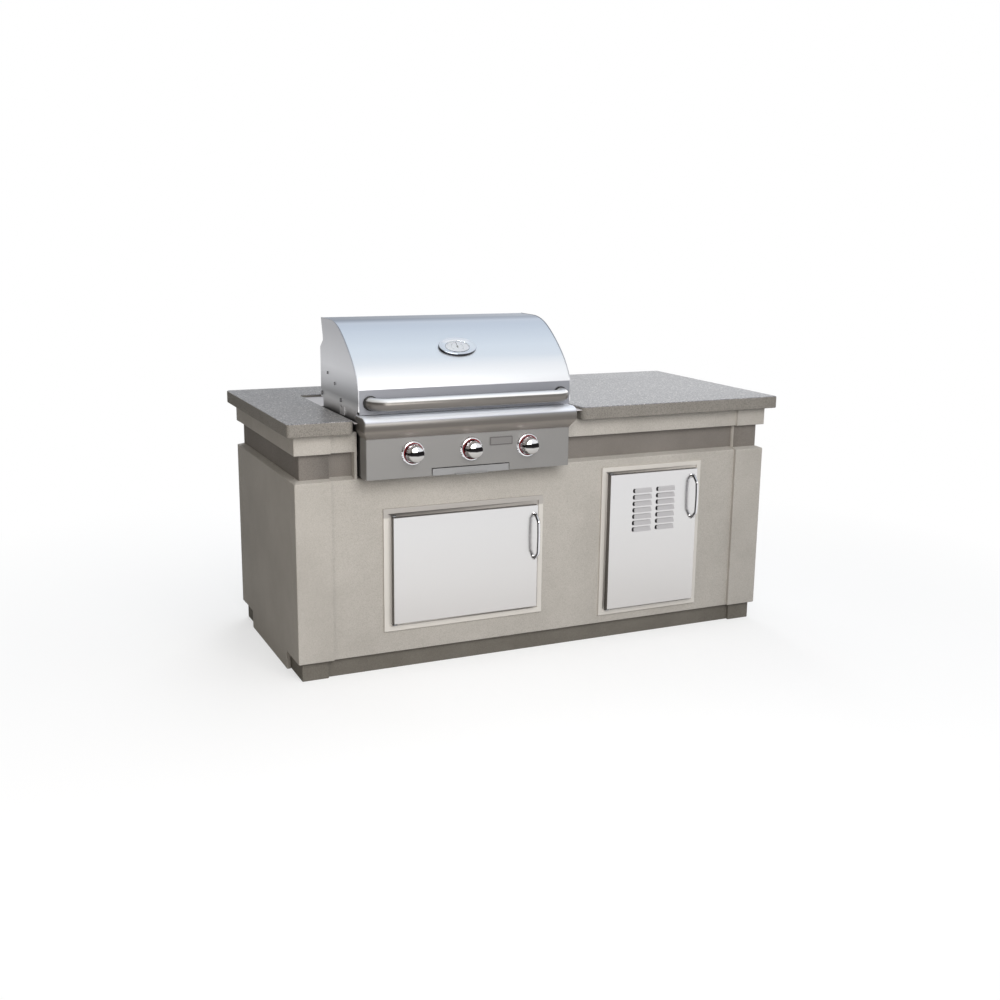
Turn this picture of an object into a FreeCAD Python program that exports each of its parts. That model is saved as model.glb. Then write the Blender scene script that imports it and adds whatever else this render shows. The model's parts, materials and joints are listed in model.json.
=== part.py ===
import FreeCAD, Part
import math
import os
from types import SimpleNamespace

import Sketcher
from FreeCAD import Placement, Rotation, Vector

# An outdoor kitchen island in cast concrete with a built-in gas grill.
# X runs along the front, the front faces -Y and Z is up.
# The origin is on the floor under the middle of the counter.

doc = FreeCAD.newDocument("kitchen_island")
sheet = doc.addObject("Spreadsheet::Sheet", "sizes")

# Driving dimensions in millimetres and degrees

VALUES = {
    "counter_half": 980,
    "counter_front": 400,
    "counter_rear": 486,
    "counter_bottom": 868,
    "counter_top": 914,
    "counter_corner": 12,
    "cut_corner_front": 20,
    "cut_corner_rear": 8,
    "counter_edge_top": 5,
    "counter_edge_bottom": 3,
    "cut_left": -751,
    "cut_right": 115,
    "cut_rear": 258,
    "cabinet_half": 950,
    "pilaster_inner": 823,
    "pilaster_front": 363,
    "wall_front": 351,
    "wall_rear": 459,
    "panel_inside": 306,
    "side_inside": 905,
    "back_inside": 414,
    "wall_bottom": 67,
    "ledge_bottom": 704,
    "ledge_top": 712,
    "cornice_bottom": 799,
    "reveal_side": 22,
    "reveal_front": 30,
    "jamb_margin": 10,
    "skirt_front": 203,
    "skirt_rear": 299,
    "skirt_depth": 15.5,
    "gas_line_x": -340,
    "gas_line_z": 200,
    "gas_line_radius": 19,
    "plinth_thickness": 20,
    "plinth_half": 934,
    "plinth_front": 335,
    "plinth_corner": 839,
    "plinth_corner_front": 347,
    "plinth_back": 443,
    "tube_side": 25,
    "tube_wall": 2,
    "grill_x": -340,
    "notch_half": 386,
    "notch_bottom": 706,
    "bearer_inner": 358,
    "firebox_half": 383,
    "firebox_rim_half": 391,
    "firebox_front": 372,
    "firebox_rear": 14,
    "firebox_bottom": 714,
    "firebox_floor": 742,
    "firebox_step": 872,
    "firebox_side_top": 941,
    "firebox_front_top": 926,
    "firebox_rear_top": 966,
    "sheet_steel": 1.5,
    "hinge_z": 957,
    "hinge_pin_radius": 5,
    "ear_radius": 14,
    "panel_half": 382,
    "panel_plane": 434,
    "panel_top": 854,
    "nose_half": 397,
    "nose_top": 930,
    "nose_radius": 30,
    "nose_centre_y": -437,
    "nose_under_angle": 40,
    "nose_end_round": 6,
    "panel_bend": 4,
    "knob_z": 799,
    "knob_spacing": 216,
    "knob_radius": 31,
    "knob_rear": 442,
    "knob_front": 484,
    "bezel_radius": 43,
    "bezel_front": 443,
    "stem_radius": 4,
    "stem_clearance": 0.4,
    "manifold_y": -402,
    "manifold_z": 775,
    "pipe_radius": 10.65,
    "tray_half": 142,
    "tray_front_half": 144,
    "tray_gap": 3,
    "tray_length": 370,
    "hood_half": 394,
    "hood_cap": 4,
    "hood_skin": 1.5,
    "hood_rear": 18,
    "hood_rear_bottom": 975,
    "hood_rear_step": 1122,
    "hood_neck_y": -16,
    "hood_neck_low": 1147,
    "hood_neck_high": 1160,
    "hood_top": 1226,
    "hood_top_rear": 3,
    "hood_top_front": -100,
    "crown_radius": 250,
    "crown_angle": 30,
    "slope_radius": 640,
    "slope_angle": 43,
    "brow_radius": 280,
    "brow_angle": 66,
    "band_bottom": 932,
    "cap_bottom": 943,
    "handle_half": 356,
    "handle_y": -465,
    "handle_z": 971.5,
    "handle_radius": 21,
    "handle_bend": 48,
    "bushing_radius": 25,
    "gauge_angle": 38.8,
    "gauge_long": 71,
    "gauge_short": 49.5,
    "dial_long": 45,
    "dial_short": 29,
    "gauge_height": 10,
    "door_front": 378,
    "door_rear": 356,
    "door_rim": 15,
    "frame_face": 358,
    "rebate_face": 352.5,
    "rebate_width": 22,
    "sleeve_rear": 300,
    "hinge_inset": 6,
    "door_pin_radius": 3,
    "left_x": -327,
    "left_z": 369,
    "left_frame_width": 618,
    "left_frame_height": 446,
    "left_door_width": 558,
    "left_door_height": 384,
    "left_bar": 18,
    "right_x": 446,
    "right_z": 386,
    "right_frame_width": 436,
    "right_frame_height": 576,
    "right_door_width": 382,
    "right_door_height": 522,
    "right_bar": 17,
    "louvre_width": 75,
    "louvre_column_pitch": 102,
    "louvre_row_pitch": 25,
    "louvre_rows": 7,
    "louvre_drop": 17,
    "louvre_reach": 8,
    "louvre_top": 589,
    "pull_spacing": 162,
    "left_pull_edge": 13,
    "left_pull_z": 447,
    "right_pull_edge": 21,
    "right_pull_z": 540,
    "pull_rise": 5,
    "pull_bend": 12,
    "pull_lean": 45,
    "pull_leg": 21.7,
    "pull_bend_angle": 84,
    "pull_radius": 6,
}

for row, (name, value) in enumerate(VALUES.items(), 1):
    sheet.set("A%d" % row, name)
    sheet.set("B%d" % row, str(value))
    sheet.setAlias("B%d" % row, name)
doc.recompute()


class Size:
    """A number that remembers the sheet expression it comes from."""

    def __init__(self, number, text=None):
        self.number = float(number)
        self.text = text or "(%.6f)" % number

    def __add__(self, other):
        other = as_size(other)
        return Size(self.number + other.number, "(%s + %s)" % (self.text, other.text))

    def __sub__(self, other):
        other = as_size(other)
        return Size(self.number - other.number, "(%s - %s)" % (self.text, other.text))

    def __mul__(self, other):
        other = as_size(other)
        return Size(self.number * other.number, "(%s * %s)" % (self.text, other.text))

    def __truediv__(self, other):
        other = as_size(other)
        return Size(self.number / other.number, "(%s / %s)" % (self.text, other.text))

    def __neg__(self):
        return Size(-self.number, "(0 - %s)" % self.text)

    def __rsub__(self, other):
        return as_size(other) - self

    __radd__ = __add__
    __rmul__ = __mul__


def as_size(value):
    return value if isinstance(value, Size) else Size(value)


def sine(angle):
    angle = as_size(angle)
    return Size(math.sin(math.radians(angle.number)), "sin(%s)" % angle.text)


def cosine(angle):
    angle = as_size(angle)
    return Size(math.cos(math.radians(angle.number)), "cos(%s)" % angle.text)


size = SimpleNamespace(**{name: Size(value, "sizes." + name) for name, value in VALUES.items()})


# Ways of making the pieces, each bound to the sheet

def bind(thing, prop, value):
    value = as_size(value)
    if "." not in prop:
        setattr(thing, prop, value.number)
    if "sizes" in value.text:
        thing.setExpression(prop, value.text)


def place(thing, x=0, y=0, z=0, rotation=None):
    spot = [as_size(value) for value in (x, y, z)]
    turn = rotation or Rotation()
    thing.Placement = Placement(Vector(*[value.number for value in spot]), turn)
    for axis, value in zip("xyz", spot):
        bind(thing, "Placement.Base." + axis, value)


def new(kind, label):
    thing = doc.addObject(kind, label)
    thing.Label = label
    return thing


def block(label, x0, x1, y0, y1, z0, z1):
    made = new("Part::Box", label)
    bind(made, "Length", as_size(x1) - x0)
    bind(made, "Width", as_size(y1) - y0)
    bind(made, "Height", as_size(z1) - z0)
    place(made, x0, y0, z0)
    return made


TURNS = {
    "x": Rotation(Vector(0, 1, 0), 90),
    "y": Rotation(Vector(1, 0, 0), -90),
    "z": Rotation(),
}


def rod(label, radius, length, axis, x, y, z):
    """A cylinder that starts at the point and runs along plus the axis."""
    made = new("Part::Cylinder", label)
    bind(made, "Radius", radius)
    bind(made, "Height", length)
    place(made, x, y, z, TURNS[axis])
    return made


def ball(label, radius, x, y, z):
    made = new("Part::Sphere", label)
    bind(made, "Radius", radius)
    place(made, x, y, z)
    return made


def cut(label, base, tool):
    made = new("Part::Cut", label)
    made.Base = base
    made.Tool = tool
    return made


def fuse(label, pieces):
    made = new("Part::MultiFuse", label)
    made.Shapes = pieces
    return made


def group(label, pieces):
    made = new("Part::Compound", label)
    made.Links = pieces
    return made


def origin_plane(body, role):
    for feature in body.Origin.OriginFeatures:
        if feature.Role == role + "_Plane":
            return feature
    raise ValueError(role)


def draw(sketch, loops):
    """Closed loops of points; a third number on a point curves the edge that leaves it,
    with its centre to the left of the way round when the number is positive."""
    first = 0
    for loop in loops:
        if loop[0] == "circle":
            x, y, radius = [as_size(value) for value in loop[1:]]
            round_edge = Part.Circle(Vector(x.number, y.number, 0), Vector(0, 0, 1), radius.number)
            sketch.addGeometry(round_edge)
            fix(sketch, Sketcher.Constraint("DistanceX", -1, 1, first, 3, x.number), x)
            fix(sketch, Sketcher.Constraint("DistanceY", -1, 1, first, 3, y.number), y)
            fix(sketch, Sketcher.Constraint("Radius", first, radius.number), radius)
            first += 1
            continue
        first = draw_chain(sketch, first, loop, True)


def draw_chain(sketch, first, points, closed):
    spots = [[as_size(value) for value in point] for point in points]
    count = len(spots) if closed else len(spots) - 1
    starts = []
    for index in range(count):
        here = spots[index]
        there = spots[(index + 1) % len(spots)]
        a = Vector(here[0].number, here[1].number, 0)
        b = Vector(there[0].number, there[1].number, 0)
        if len(here) == 3:
            bend = here[2].number
            chord = b - a
            side = Vector(-chord.y, chord.x, 0).normalize()
            reach = math.sqrt(max(bend * bend - chord.Length ** 2 / 4, 0))
            centre = (a + b) * 0.5 + side * math.copysign(reach, bend)
            bulge = (a + b) * 0.5 - centre
            middle = centre + bulge.normalize() * abs(bend)
            curve = Part.Arc(a, middle, b)
            sketch.addGeometry(curve)
            at_start = bend > 0
            starts.append((1, 2) if at_start else (2, 1))
        else:
            sketch.addGeometry(Part.LineSegment(a, b))
            starts.append((1, 2))
    for index in range(count):
        number = first + index
        here = spots[index]
        x, y = here[0], here[1]
        start = starts[index][0]
        fix(sketch, Sketcher.Constraint("DistanceX", -1, 1, number, start, x.number), x)
        fix(sketch, Sketcher.Constraint("DistanceY", -1, 1, number, start, y.number), y)
        if closed or index < count - 1:
            after = (index + 1) % count
            joint = Sketcher.Constraint("Coincident", number, starts[index][1], first + after, starts[after][0])
            sketch.addConstraint(joint)
        else:
            x, y = spots[-1][0], spots[-1][1]
            end = starts[index][1]
            fix(sketch, Sketcher.Constraint("DistanceX", -1, 1, number, end, x.number), x)
            fix(sketch, Sketcher.Constraint("DistanceY", -1, 1, number, end, y.number), y)
        if len(here) == 3:
            radius = here[2] if here[2].number > 0 else -here[2]
            fix(sketch, Sketcher.Constraint("Radius", number, radius.number), radius)
    return first + count


def fix(sketch, constraint, value):
    index = sketch.addConstraint(constraint)
    if "sizes" in value.text:
        name = "size%d" % index
        sketch.renameConstraint(index, name)
        sketch.setExpression("Constraints." + name, value.text)


def new_body(label):
    return new("PartDesign::Body", label)


def sketch_on(body, name, role, offset=0, loops=None):
    sketch = body.newObject("Sketcher::SketchObject", name)
    sketch.AttachmentSupport = [(origin_plane(body, role), "")]
    sketch.MapMode = "FlatFace"
    offset = as_size(offset)
    sketch.AttachmentOffset = Placement(Vector(0, 0, offset.number), Rotation())
    if "sizes" in offset.text:
        sketch.setExpression("AttachmentOffset.Base.z", offset.text)
    if loops:
        draw(sketch, loops)
    return sketch


def pad(body, name, sketch, depth, reverse=False, midplane=False):
    made = body.newObject("PartDesign::Pad", name)
    made.Profile = sketch
    bind(made, "Length", depth)
    made.Reversed = reverse
    if midplane:
        made.SideType = "Symmetric"
    sketch.Visibility = False
    return made


def pocket(body, name, sketch, depth, reverse=False, midplane=False):
    doc.recompute()
    before = body.Shape.Volume
    made = body.newObject("PartDesign::Pocket", name)
    made.Profile = sketch
    bind(made, "Length", depth)
    made.Reversed = reverse
    if midplane:
        made.SideType = "Symmetric"
    doc.recompute()
    if body.Shape.Volume > before - 1:
        raise RuntimeError("%s in %s cuts nothing" % (name, body.Label))
    return made


def rectangle(x0, x1, y0, y1):
    return [(x0, y0), (x1, y0), (x1, y1), (x0, y1)]


def edges_where(shape, test):
    """Names of the edges whose bounding box passes the test."""
    names = []
    for index, edge in enumerate(shape.Edges, 1):
        if test(edge.BoundBox):
            names.append("Edge%d" % index)
    return names


def ease(body, name, radius, test, kind="PartDesign::Fillet"):
    doc.recompute()
    base = body.Tip
    made = body.newObject(kind, name)
    made.Base = (base, edges_where(base.Shape, test))
    bind(made, "Radius" if kind.endswith("Fillet") else "Size", radius)
    return made


def plate(label, role, loops, offset, depth, reverse=False, midplane=False):
    """A body made by one sketch and one pad."""
    body = new_body(label)
    outline = sketch_on(body, label + "_outline", role, offset, loops)
    pad(body, label + "_pad", outline, depth, reverse, midplane)
    return body


def square_tube(label, axis, along0, along1, u0, v0):
    """A square tube along an axis; u0 and v0 are its low corner across the axis."""
    side = size.tube_side
    wall = size.tube_wall
    ranges = {
        "x": (along0, along1, u0, u0 + side, v0, v0 + side),
        "y": (u0, u0 + side, along0, along1, v0, v0 + side),
        "z": (u0, u0 + side, v0, v0 + side, along0, along1),
    }[axis]
    inner = []
    for index, letter in enumerate("xyz"):
        low, high = ranges[2 * index], ranges[2 * index + 1]
        if letter == axis:
            inner += [low - 1, as_size(high) + 1]
        else:
            inner += [low + wall, as_size(high) - wall]
    solid = block(label + "_solid", *ranges)
    hollow = block(label + "_hollow", *inner)
    return cut(label, solid, hollow)


nodes = []


def keep(*pieces):
    nodes.extend(pieces)


# Countertop: cast slab with a cut-out for the grill, open at the front

counter = new_body("countertop")
slab_outline = [
    (-size.counter_half, -size.counter_front),
    (size.cut_left, -size.counter_front),
    (size.cut_left, size.cut_rear),
    (size.cut_right, size.cut_rear),
    (size.cut_right, -size.counter_front),
    (size.counter_half, -size.counter_front),
    (size.counter_half, size.counter_rear),
    (-size.counter_half, size.counter_rear),
]
slab = sketch_on(counter, "slab_outline", "XY", size.counter_bottom, [slab_outline])
pad(counter, "slab", slab, size.counter_top - size.counter_bottom)


def outer_corner(box):
    return box.ZLength > 40 and abs(box.Center.x) > 970


def cut_corner(box, sign):
    return box.ZLength > 40 and abs(box.Center.x) < 970 and box.Center.y * sign > 0


def edge_at_height(height, box):
    return box.ZLength < 0.1 and abs(box.ZMax - height.number) < 0.1


ease(counter, "outer_corners", size.counter_corner, outer_corner)
ease(counter, "cut_front_corners", size.cut_corner_front, lambda box: cut_corner(box, -1))
ease(counter, "cut_rear_corners", size.cut_corner_rear, lambda box: cut_corner(box, 1))
ease(counter, "top_edge", size.counter_edge_top, lambda box: edge_at_height(size.counter_top, box))
ease(counter, "bottom_edge", size.counter_edge_bottom, lambda box: edge_at_height(size.counter_bottom, box))
keep(counter)

# Cast wall panels: wall, sloped ledge, recessed reveal and cornice

wall_half = size.cabinet_half
reveal_half = size.cabinet_half - size.reveal_side
front_wall_plan = [
    (-wall_half, -size.panel_inside),
    (-wall_half, -size.pilaster_front),
    (-size.pilaster_inner, -size.pilaster_front),
    (-size.pilaster_inner, -size.wall_front),
    (size.pilaster_inner, -size.wall_front),
    (size.pilaster_inner, -size.pilaster_front),
    (wall_half, -size.pilaster_front),
    (wall_half, -size.panel_inside),
]
reveal_pilaster = size.pilaster_front - size.reveal_side
reveal_wall = size.wall_front - size.reveal_front
front_reveal_plan = [
    (-reveal_half, -size.panel_inside),
    (-reveal_half, -reveal_pilaster),
    (-size.pilaster_inner, -reveal_pilaster),
    (-size.pilaster_inner, -reveal_wall),
    (size.pilaster_inner, -reveal_wall),
    (size.pilaster_inner, -reveal_pilaster),
    (reveal_half, -reveal_pilaster),
    (reveal_half, -size.panel_inside),
]
reveal_back = size.wall_rear - size.reveal_side
back_wall_plan = rectangle(-wall_half, wall_half, size.back_inside, size.wall_rear)
back_reveal_plan = rectangle(-reveal_half, reveal_half, size.back_inside, reveal_back)


def cast_panel(label, wall_plan, reveal_plan):
    body = new_body(label)
    lower = sketch_on(body, label + "_wall_plan", "XY", size.wall_bottom, [wall_plan])
    pad(body, label + "_wall", lower, size.ledge_bottom - size.wall_bottom)
    ledge_low = sketch_on(body, label + "_ledge_low", "XY", size.ledge_bottom, [wall_plan])
    ledge_high = sketch_on(body, label + "_ledge_high", "XY", size.ledge_top, [reveal_plan])
    ledge = body.newObject("PartDesign::AdditiveLoft", label + "_ledge")
    ledge.Profile = ledge_low
    ledge.Sections = [ledge_high]
    ledge.Ruled = True
    reveal = sketch_on(body, label + "_reveal_plan", "XY", size.ledge_top, [reveal_plan])
    pad(body, label + "_reveal", reveal, size.cornice_bottom - size.ledge_top)
    upper = sketch_on(body, label + "_cornice_plan", "XY", size.cornice_bottom, [wall_plan])
    pad(body, label + "_cornice", upper, size.counter_bottom - size.cornice_bottom)
    return body


def door_opening(body, label, x, z, width, height, bar):
    """Hole for a door frame's sleeve through the front wall, with 2 mm to spare."""
    half_x = width / 2 - bar - size.rebate_width + size.sheet_steel + 2
    half_z = height / 2 - bar - size.rebate_width + size.sheet_steel + 2
    hole = sketch_on(
        body, label, "XZ", 0, [rectangle(x - half_x, x + half_x, z - half_z, z + half_z)]
    )
    pocket(body, label + "_cut", hole, 900, midplane=True)


front = cast_panel("front_panel", front_wall_plan, front_reveal_plan)
notch_left = size.grill_x - size.notch_half
notch_right = size.grill_x + size.notch_half
for side, edge0, edge1 in (
    ("left", notch_left - size.jamb_margin, notch_left),
    ("right", notch_right, notch_right + size.jamb_margin),
):
    margin = sketch_on(
        front,
        "jamb_margin_" + side,
        "XY",
        size.ledge_bottom,
        [rectangle(edge0, edge1, -size.wall_front, -size.panel_inside)],
    )
    pad(front, "jamb_" + side, margin, size.cornice_bottom - size.ledge_bottom)
notch = sketch_on(
    front,
    "grill_notch",
    "XZ",
    0,
    [rectangle(notch_left, notch_right, size.notch_bottom, size.counter_bottom + 10)],
)
pocket(front, "grill_notch_cut", notch, 900, midplane=True)
door_opening(
    front,
    "left_opening",
    size.left_x,
    size.left_z,
    size.left_frame_width,
    size.left_frame_height,
    size.left_bar,
)
door_opening(
    front,
    "right_opening",
    size.right_x,
    size.right_z,
    size.right_frame_width,
    size.right_frame_height,
    size.right_bar,
)
keep(front)

back = cast_panel("back_panel", back_wall_plan, back_reveal_plan)
gas_hole = sketch_on(
    back,
    "gas_line_hole",
    "XZ",
    0,
    [("circle", size.gas_line_x, size.gas_line_z, size.gas_line_radius)],
)
pocket(back, "gas_line_cut", gas_hole, 1100, midplane=True)
keep(back)

for label, sign in (("left_panel", -1), ("right_panel", 1)):
    profile = [
        (size.side_inside * sign, size.wall_bottom),
        (wall_half * sign, size.wall_bottom),
        (wall_half * sign, size.ledge_bottom),
        (reveal_half * sign, size.ledge_top),
        (reveal_half * sign, size.cornice_bottom),
        (wall_half * sign, size.cornice_bottom),
        (wall_half * sign, size.counter_bottom),
        (size.side_inside * sign, size.counter_bottom),
    ]
    side = plate(
        label, "XZ", [profile], size.panel_inside, size.back_inside + size.panel_inside, reverse=True
    )
    skirt_inner = (wall_half - size.skirt_depth) * sign
    skirt = sketch_on(
        side,
        label + "_skirt_plan",
        "XY",
        0,
        [rectangle(skirt_inner, wall_half * sign, -size.skirt_front, size.skirt_rear)],
    )
    pad(side, label + "_skirt", skirt, size.wall_bottom)
    keep(side)

# Recessed plinth boards

inner_front = -size.plinth_front + size.plinth_thickness
plinth_plan = [
    (-size.plinth_half, inner_front),
    (-size.plinth_half, -size.plinth_corner_front),
    (-size.plinth_corner, -size.plinth_corner_front),
    (-size.plinth_corner, -size.plinth_front),
    (size.plinth_corner, -size.plinth_front),
    (size.plinth_corner, -size.plinth_corner_front),
    (size.plinth_half, -size.plinth_corner_front),
    (size.plinth_half, inner_front),
]
keep(plate("plinth_front", "XY", [plinth_plan], 0, size.wall_bottom))
plinth_inner = size.plinth_half - size.plinth_thickness
plinth_rear = size.plinth_back - size.plinth_thickness
keep(block("plinth_back", -size.plinth_half, size.plinth_half, plinth_rear, size.plinth_back, 0, size.wall_bottom))
keep(block("plinth_left", -size.plinth_half, -plinth_inner, inner_front, plinth_rear, 0, size.wall_bottom))
keep(block("plinth_right", plinth_inner, size.plinth_half, inner_front, plinth_rear, 0, size.wall_bottom))

# Galvanised square-tube frame inside the panels

tube = size.tube_side
base_z = size.wall_bottom - tube
base_half = plinth_inner
middle_x = 94
base_tubes = [
    square_tube("base_front", "x", -base_half, base_half, inner_front, base_z),
    square_tube("base_rear", "x", -base_half, base_half, plinth_rear - tube, base_z),
]
for name, x in (("left", -base_half), ("middle", middle_x), ("right", base_half - tube)):
    base_tubes.append(square_tube("base_" + name, "y", inner_front + tube, plinth_rear - tube, x, base_z))
keep(group("frame_base", base_tubes))

post_top = size.counter_bottom - tube
posts = []
for column, x in (("left", -size.side_inside), ("middle", middle_x), ("right", size.side_inside - tube)):
    for row, y in (("front", -size.panel_inside), ("rear", size.back_inside - tube)):
        posts.append(square_tube("post_%s_%s" % (column, row), "z", size.wall_bottom, post_top, x, y))
keep(group("frame_posts", posts))

rail_left = size.cut_left - 14
rail_right = size.cut_right - 11
top_tubes = [
    square_tube("top_left", "y", -size.panel_inside, size.back_inside, -size.side_inside, post_top),
    square_tube("top_right", "y", -size.panel_inside, size.back_inside, size.side_inside - tube, post_top),
    square_tube(
        "top_rear", "x", -size.side_inside + tube, size.side_inside - tube, size.back_inside - tube, post_top
    ),
    square_tube("top_front_left", "x", -size.side_inside + tube, rail_left, -size.panel_inside, post_top),
    square_tube(
        "top_front_right", "x", rail_right + tube, size.side_inside - tube, -size.panel_inside, post_top
    ),
    square_tube("top_cut_left", "y", -size.panel_inside, size.back_inside - tube, rail_left, post_top),
    square_tube("top_cut_right", "y", -size.panel_inside, size.back_inside - tube, rail_right, post_top),
    square_tube("top_cut_rear", "x", rail_left + tube, rail_right, size.cut_rear - 11, post_top),
]
keep(group("frame_top", top_tubes))

bearer_z = size.firebox_bottom - tube
cross_z = bearer_z - tube
bearers = []
for name, x in (
    ("left", size.grill_x - size.bearer_inner - tube),
    ("right", size.grill_x + size.bearer_inner),
):
    bearers.append(square_tube("bearer_" + name, "y", -size.panel_inside, size.back_inside, x, bearer_z))
for name, y in (("front", -size.panel_inside), ("rear", size.back_inside - tube)):
    bearers.append(square_tube("cross_" + name, "x", -size.side_inside + tube, middle_x, y, cross_z))
keep(group("grill_bearers", bearers))

keep(
    block(
        "cabinet_floor",
        -size.side_inside + 1,
        size.side_inside - 1,
        -size.panel_inside + tube + 1,
        size.back_inside - tube - 1,
        size.wall_bottom,
        size.wall_bottom + 3,
    )
)

# Stainless deck plate that closes the cut-out round the firebox

deck_top = size.counter_top - 9
deck_sheet = 2
deck_x0 = size.cut_left + 1.5
deck_x1 = size.cut_right - 1.5
deck_y1 = size.cut_rear - 1.5
deck_y0 = -size.counter_front + 2
deck_round = size.cut_corner_rear
hole_x0 = size.grill_x - size.nose_half - 2
hole_x1 = size.grill_x + size.nose_half + 2
deck_plan = [
    (deck_x0, deck_y0),
    (hole_x0, deck_y0),
    (hole_x0, size.firebox_rear + 6),
    (hole_x1, size.firebox_rear + 6),
    (hole_x1, deck_y0),
    (deck_x1, deck_y0),
    (deck_x1, deck_y1 - deck_round, deck_round),
    (deck_x1 - deck_round, deck_y1),
    (deck_x0 + deck_round, deck_y1, deck_round),
    (deck_x0, deck_y1 - deck_round),
]
deck = plate("deck_plate", "XY", [deck_plan], deck_top - deck_sheet, deck_sheet)
leg_rear = deck_y1 - deck_round
for name, x0, x1, y0, y1 in (
    ("left", deck_x0, deck_x0 + deck_sheet, -size.panel_inside, leg_rear),
    ("right", deck_x1 - deck_sheet, deck_x1, -size.panel_inside, leg_rear),
    ("rear", deck_x0 + deck_round, deck_x1 - deck_round, deck_y1 - deck_sheet, deck_y1),
):
    leg = sketch_on(deck, "deck_leg_" + name, "XY", size.counter_bottom, [rectangle(x0, x1, y0, y1)])
    pad(deck, "deck_leg_%s_pad" % name, leg, deck_top - deck_sheet / 2 - size.counter_bottom)
keep(deck)

# Firebox: folded side walls with a step that rests in the cut-out, sheets and ledges between them

steel = size.sheet_steel
grill = size.grill_x
box_half = size.firebox_half
rim_half = size.firebox_rim_half
box_depth = size.firebox_front + size.firebox_rear
inner_half = box_half - steel
rim_inner = rim_half - steel
inner_front = -size.firebox_front + steel
inner_rear = size.firebox_rear - steel
firebox_sheets = []
for name, sign in (("left", -1), ("right", 1)):
    wall_section = [
        (grill + box_half * sign, size.firebox_bottom),
        (grill + box_half * sign, size.firebox_step),
        (grill + rim_half * sign, size.firebox_step),
        (grill + rim_half * sign, size.firebox_side_top),
        (grill + rim_inner * sign, size.firebox_side_top),
        (grill + rim_inner * sign, size.firebox_step + steel),
        (grill + inner_half * sign, size.firebox_step + steel),
        (grill + inner_half * sign, size.firebox_bottom),
    ]
    wall = plate("folded_wall_" + name, "XZ", [wall_section], size.firebox_front, box_depth, reverse=True)
    ear_x = grill + (rim_half - (steel if sign > 0 else 0)) * sign
    ear_strap = block(
        "ear_strap_" + name,
        ear_x,
        ear_x + steel,
        -size.ear_radius,
        size.ear_radius,
        size.firebox_side_top - 5,
        size.hinge_z,
    )
    ear_round = rod("ear_round_" + name, size.ear_radius, steel, "x", ear_x, 0, size.hinge_z)
    ear_hole = rod(
        "ear_hole_" + name, size.hinge_pin_radius + 0.05, steel + 2, "x", ear_x - 1, 0, size.hinge_z
    )
    wall_with_ear = fuse("wall_with_ear_" + name, [wall, ear_strap, ear_round])
    firebox_sheets.append(cut("firebox_side_" + name, wall_with_ear, ear_hole))

end_sheets = []
for name, y0, top in (
    ("front", -size.firebox_front, size.firebox_front_top),
    ("rear", inner_rear, size.firebox_rear_top),
):
    low_box = (grill - inner_half, grill + inner_half, y0, y0 + steel, size.firebox_bottom, top)
    high_box = (grill - rim_inner, grill + rim_inner, y0, y0 + steel, size.firebox_step + steel, top)
    low = block("firebox_%s_low" % name, *low_box)
    high = block("firebox_%s_high" % name, *high_box)
    end_sheets.append(fuse("firebox_" + name, [low, high]))
front_sheet, rear_sheet = end_sheets
knob_x = [grill + size.knob_spacing * step for step in (-1, 0, 1)]
collar_radius = 14
strip_top = size.firebox_bottom + 1.4
front_holes = [
    block(
        "tray_slot",
        grill - size.tray_half - 1,
        grill + size.tray_half + 1,
        -size.firebox_front - 1,
        inner_front + 0.5,
        strip_top,
        size.firebox_floor,
    ),
    rod("gas_feed_hole", 13, 12, "y", grill + 330, -size.firebox_front - 5, 728),
]
for index, x in enumerate(knob_x, 1):
    front_holes.append(
        rod("burner_hole_%d" % index, collar_radius, 12, "y", x, -size.firebox_front - 5, size.knob_z)
    )
firebox_sheets.append(cut("firebox_front_sheet", front_sheet, fuse("firebox_front_holes", front_holes)))
firebox_sheets.append(rear_sheet)

floor_sheet = block(
    "firebox_floor_blank",
    grill - inner_half,
    grill + inner_half,
    inner_front,
    inner_rear,
    size.firebox_floor,
    size.firebox_floor + steel,
)
drain_opening = block(
    "drain_opening",
    grill - 110,
    grill + 110,
    -290,
    -70,
    size.firebox_floor - 1,
    size.firebox_floor + 4,
)
firebox_sheets.append(cut("firebox_floor_sheet", floor_sheet, drain_opening))

grate_rest = 893
ledge_depth = 14.5
for name, y0 in (("front", inner_front), ("rear", inner_rear - ledge_depth)):
    ledge_box = (grill - rim_inner, grill + rim_inner, y0, y0 + ledge_depth, grate_rest - 2, grate_rest)
    firebox_sheets.append(block("grate_ledge_" + name, *ledge_box))

for name, sign in (("left", -1), ("right", 1)):
    inner = grill + (size.tray_half + 1) * sign
    outer = grill + (size.tray_half + 2.5) * sign
    foot = grill + (size.tray_half - 8) * sign
    for label, near, base, top in (
        ("runner", inner, strip_top, size.firebox_floor),
        ("foot", foot, size.firebox_bottom, strip_top),
    ):
        low_x, high_x = (near, outer) if sign > 0 else (outer, near)
        strip = (low_x, high_x, inner_front, inner_rear, base, top)
        firebox_sheets.append(block("tray_%s_%s" % (label, name), *strip))
keep(group("firebox", firebox_sheets))

# Control panel with side returns, knob holes and the tray notch

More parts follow.
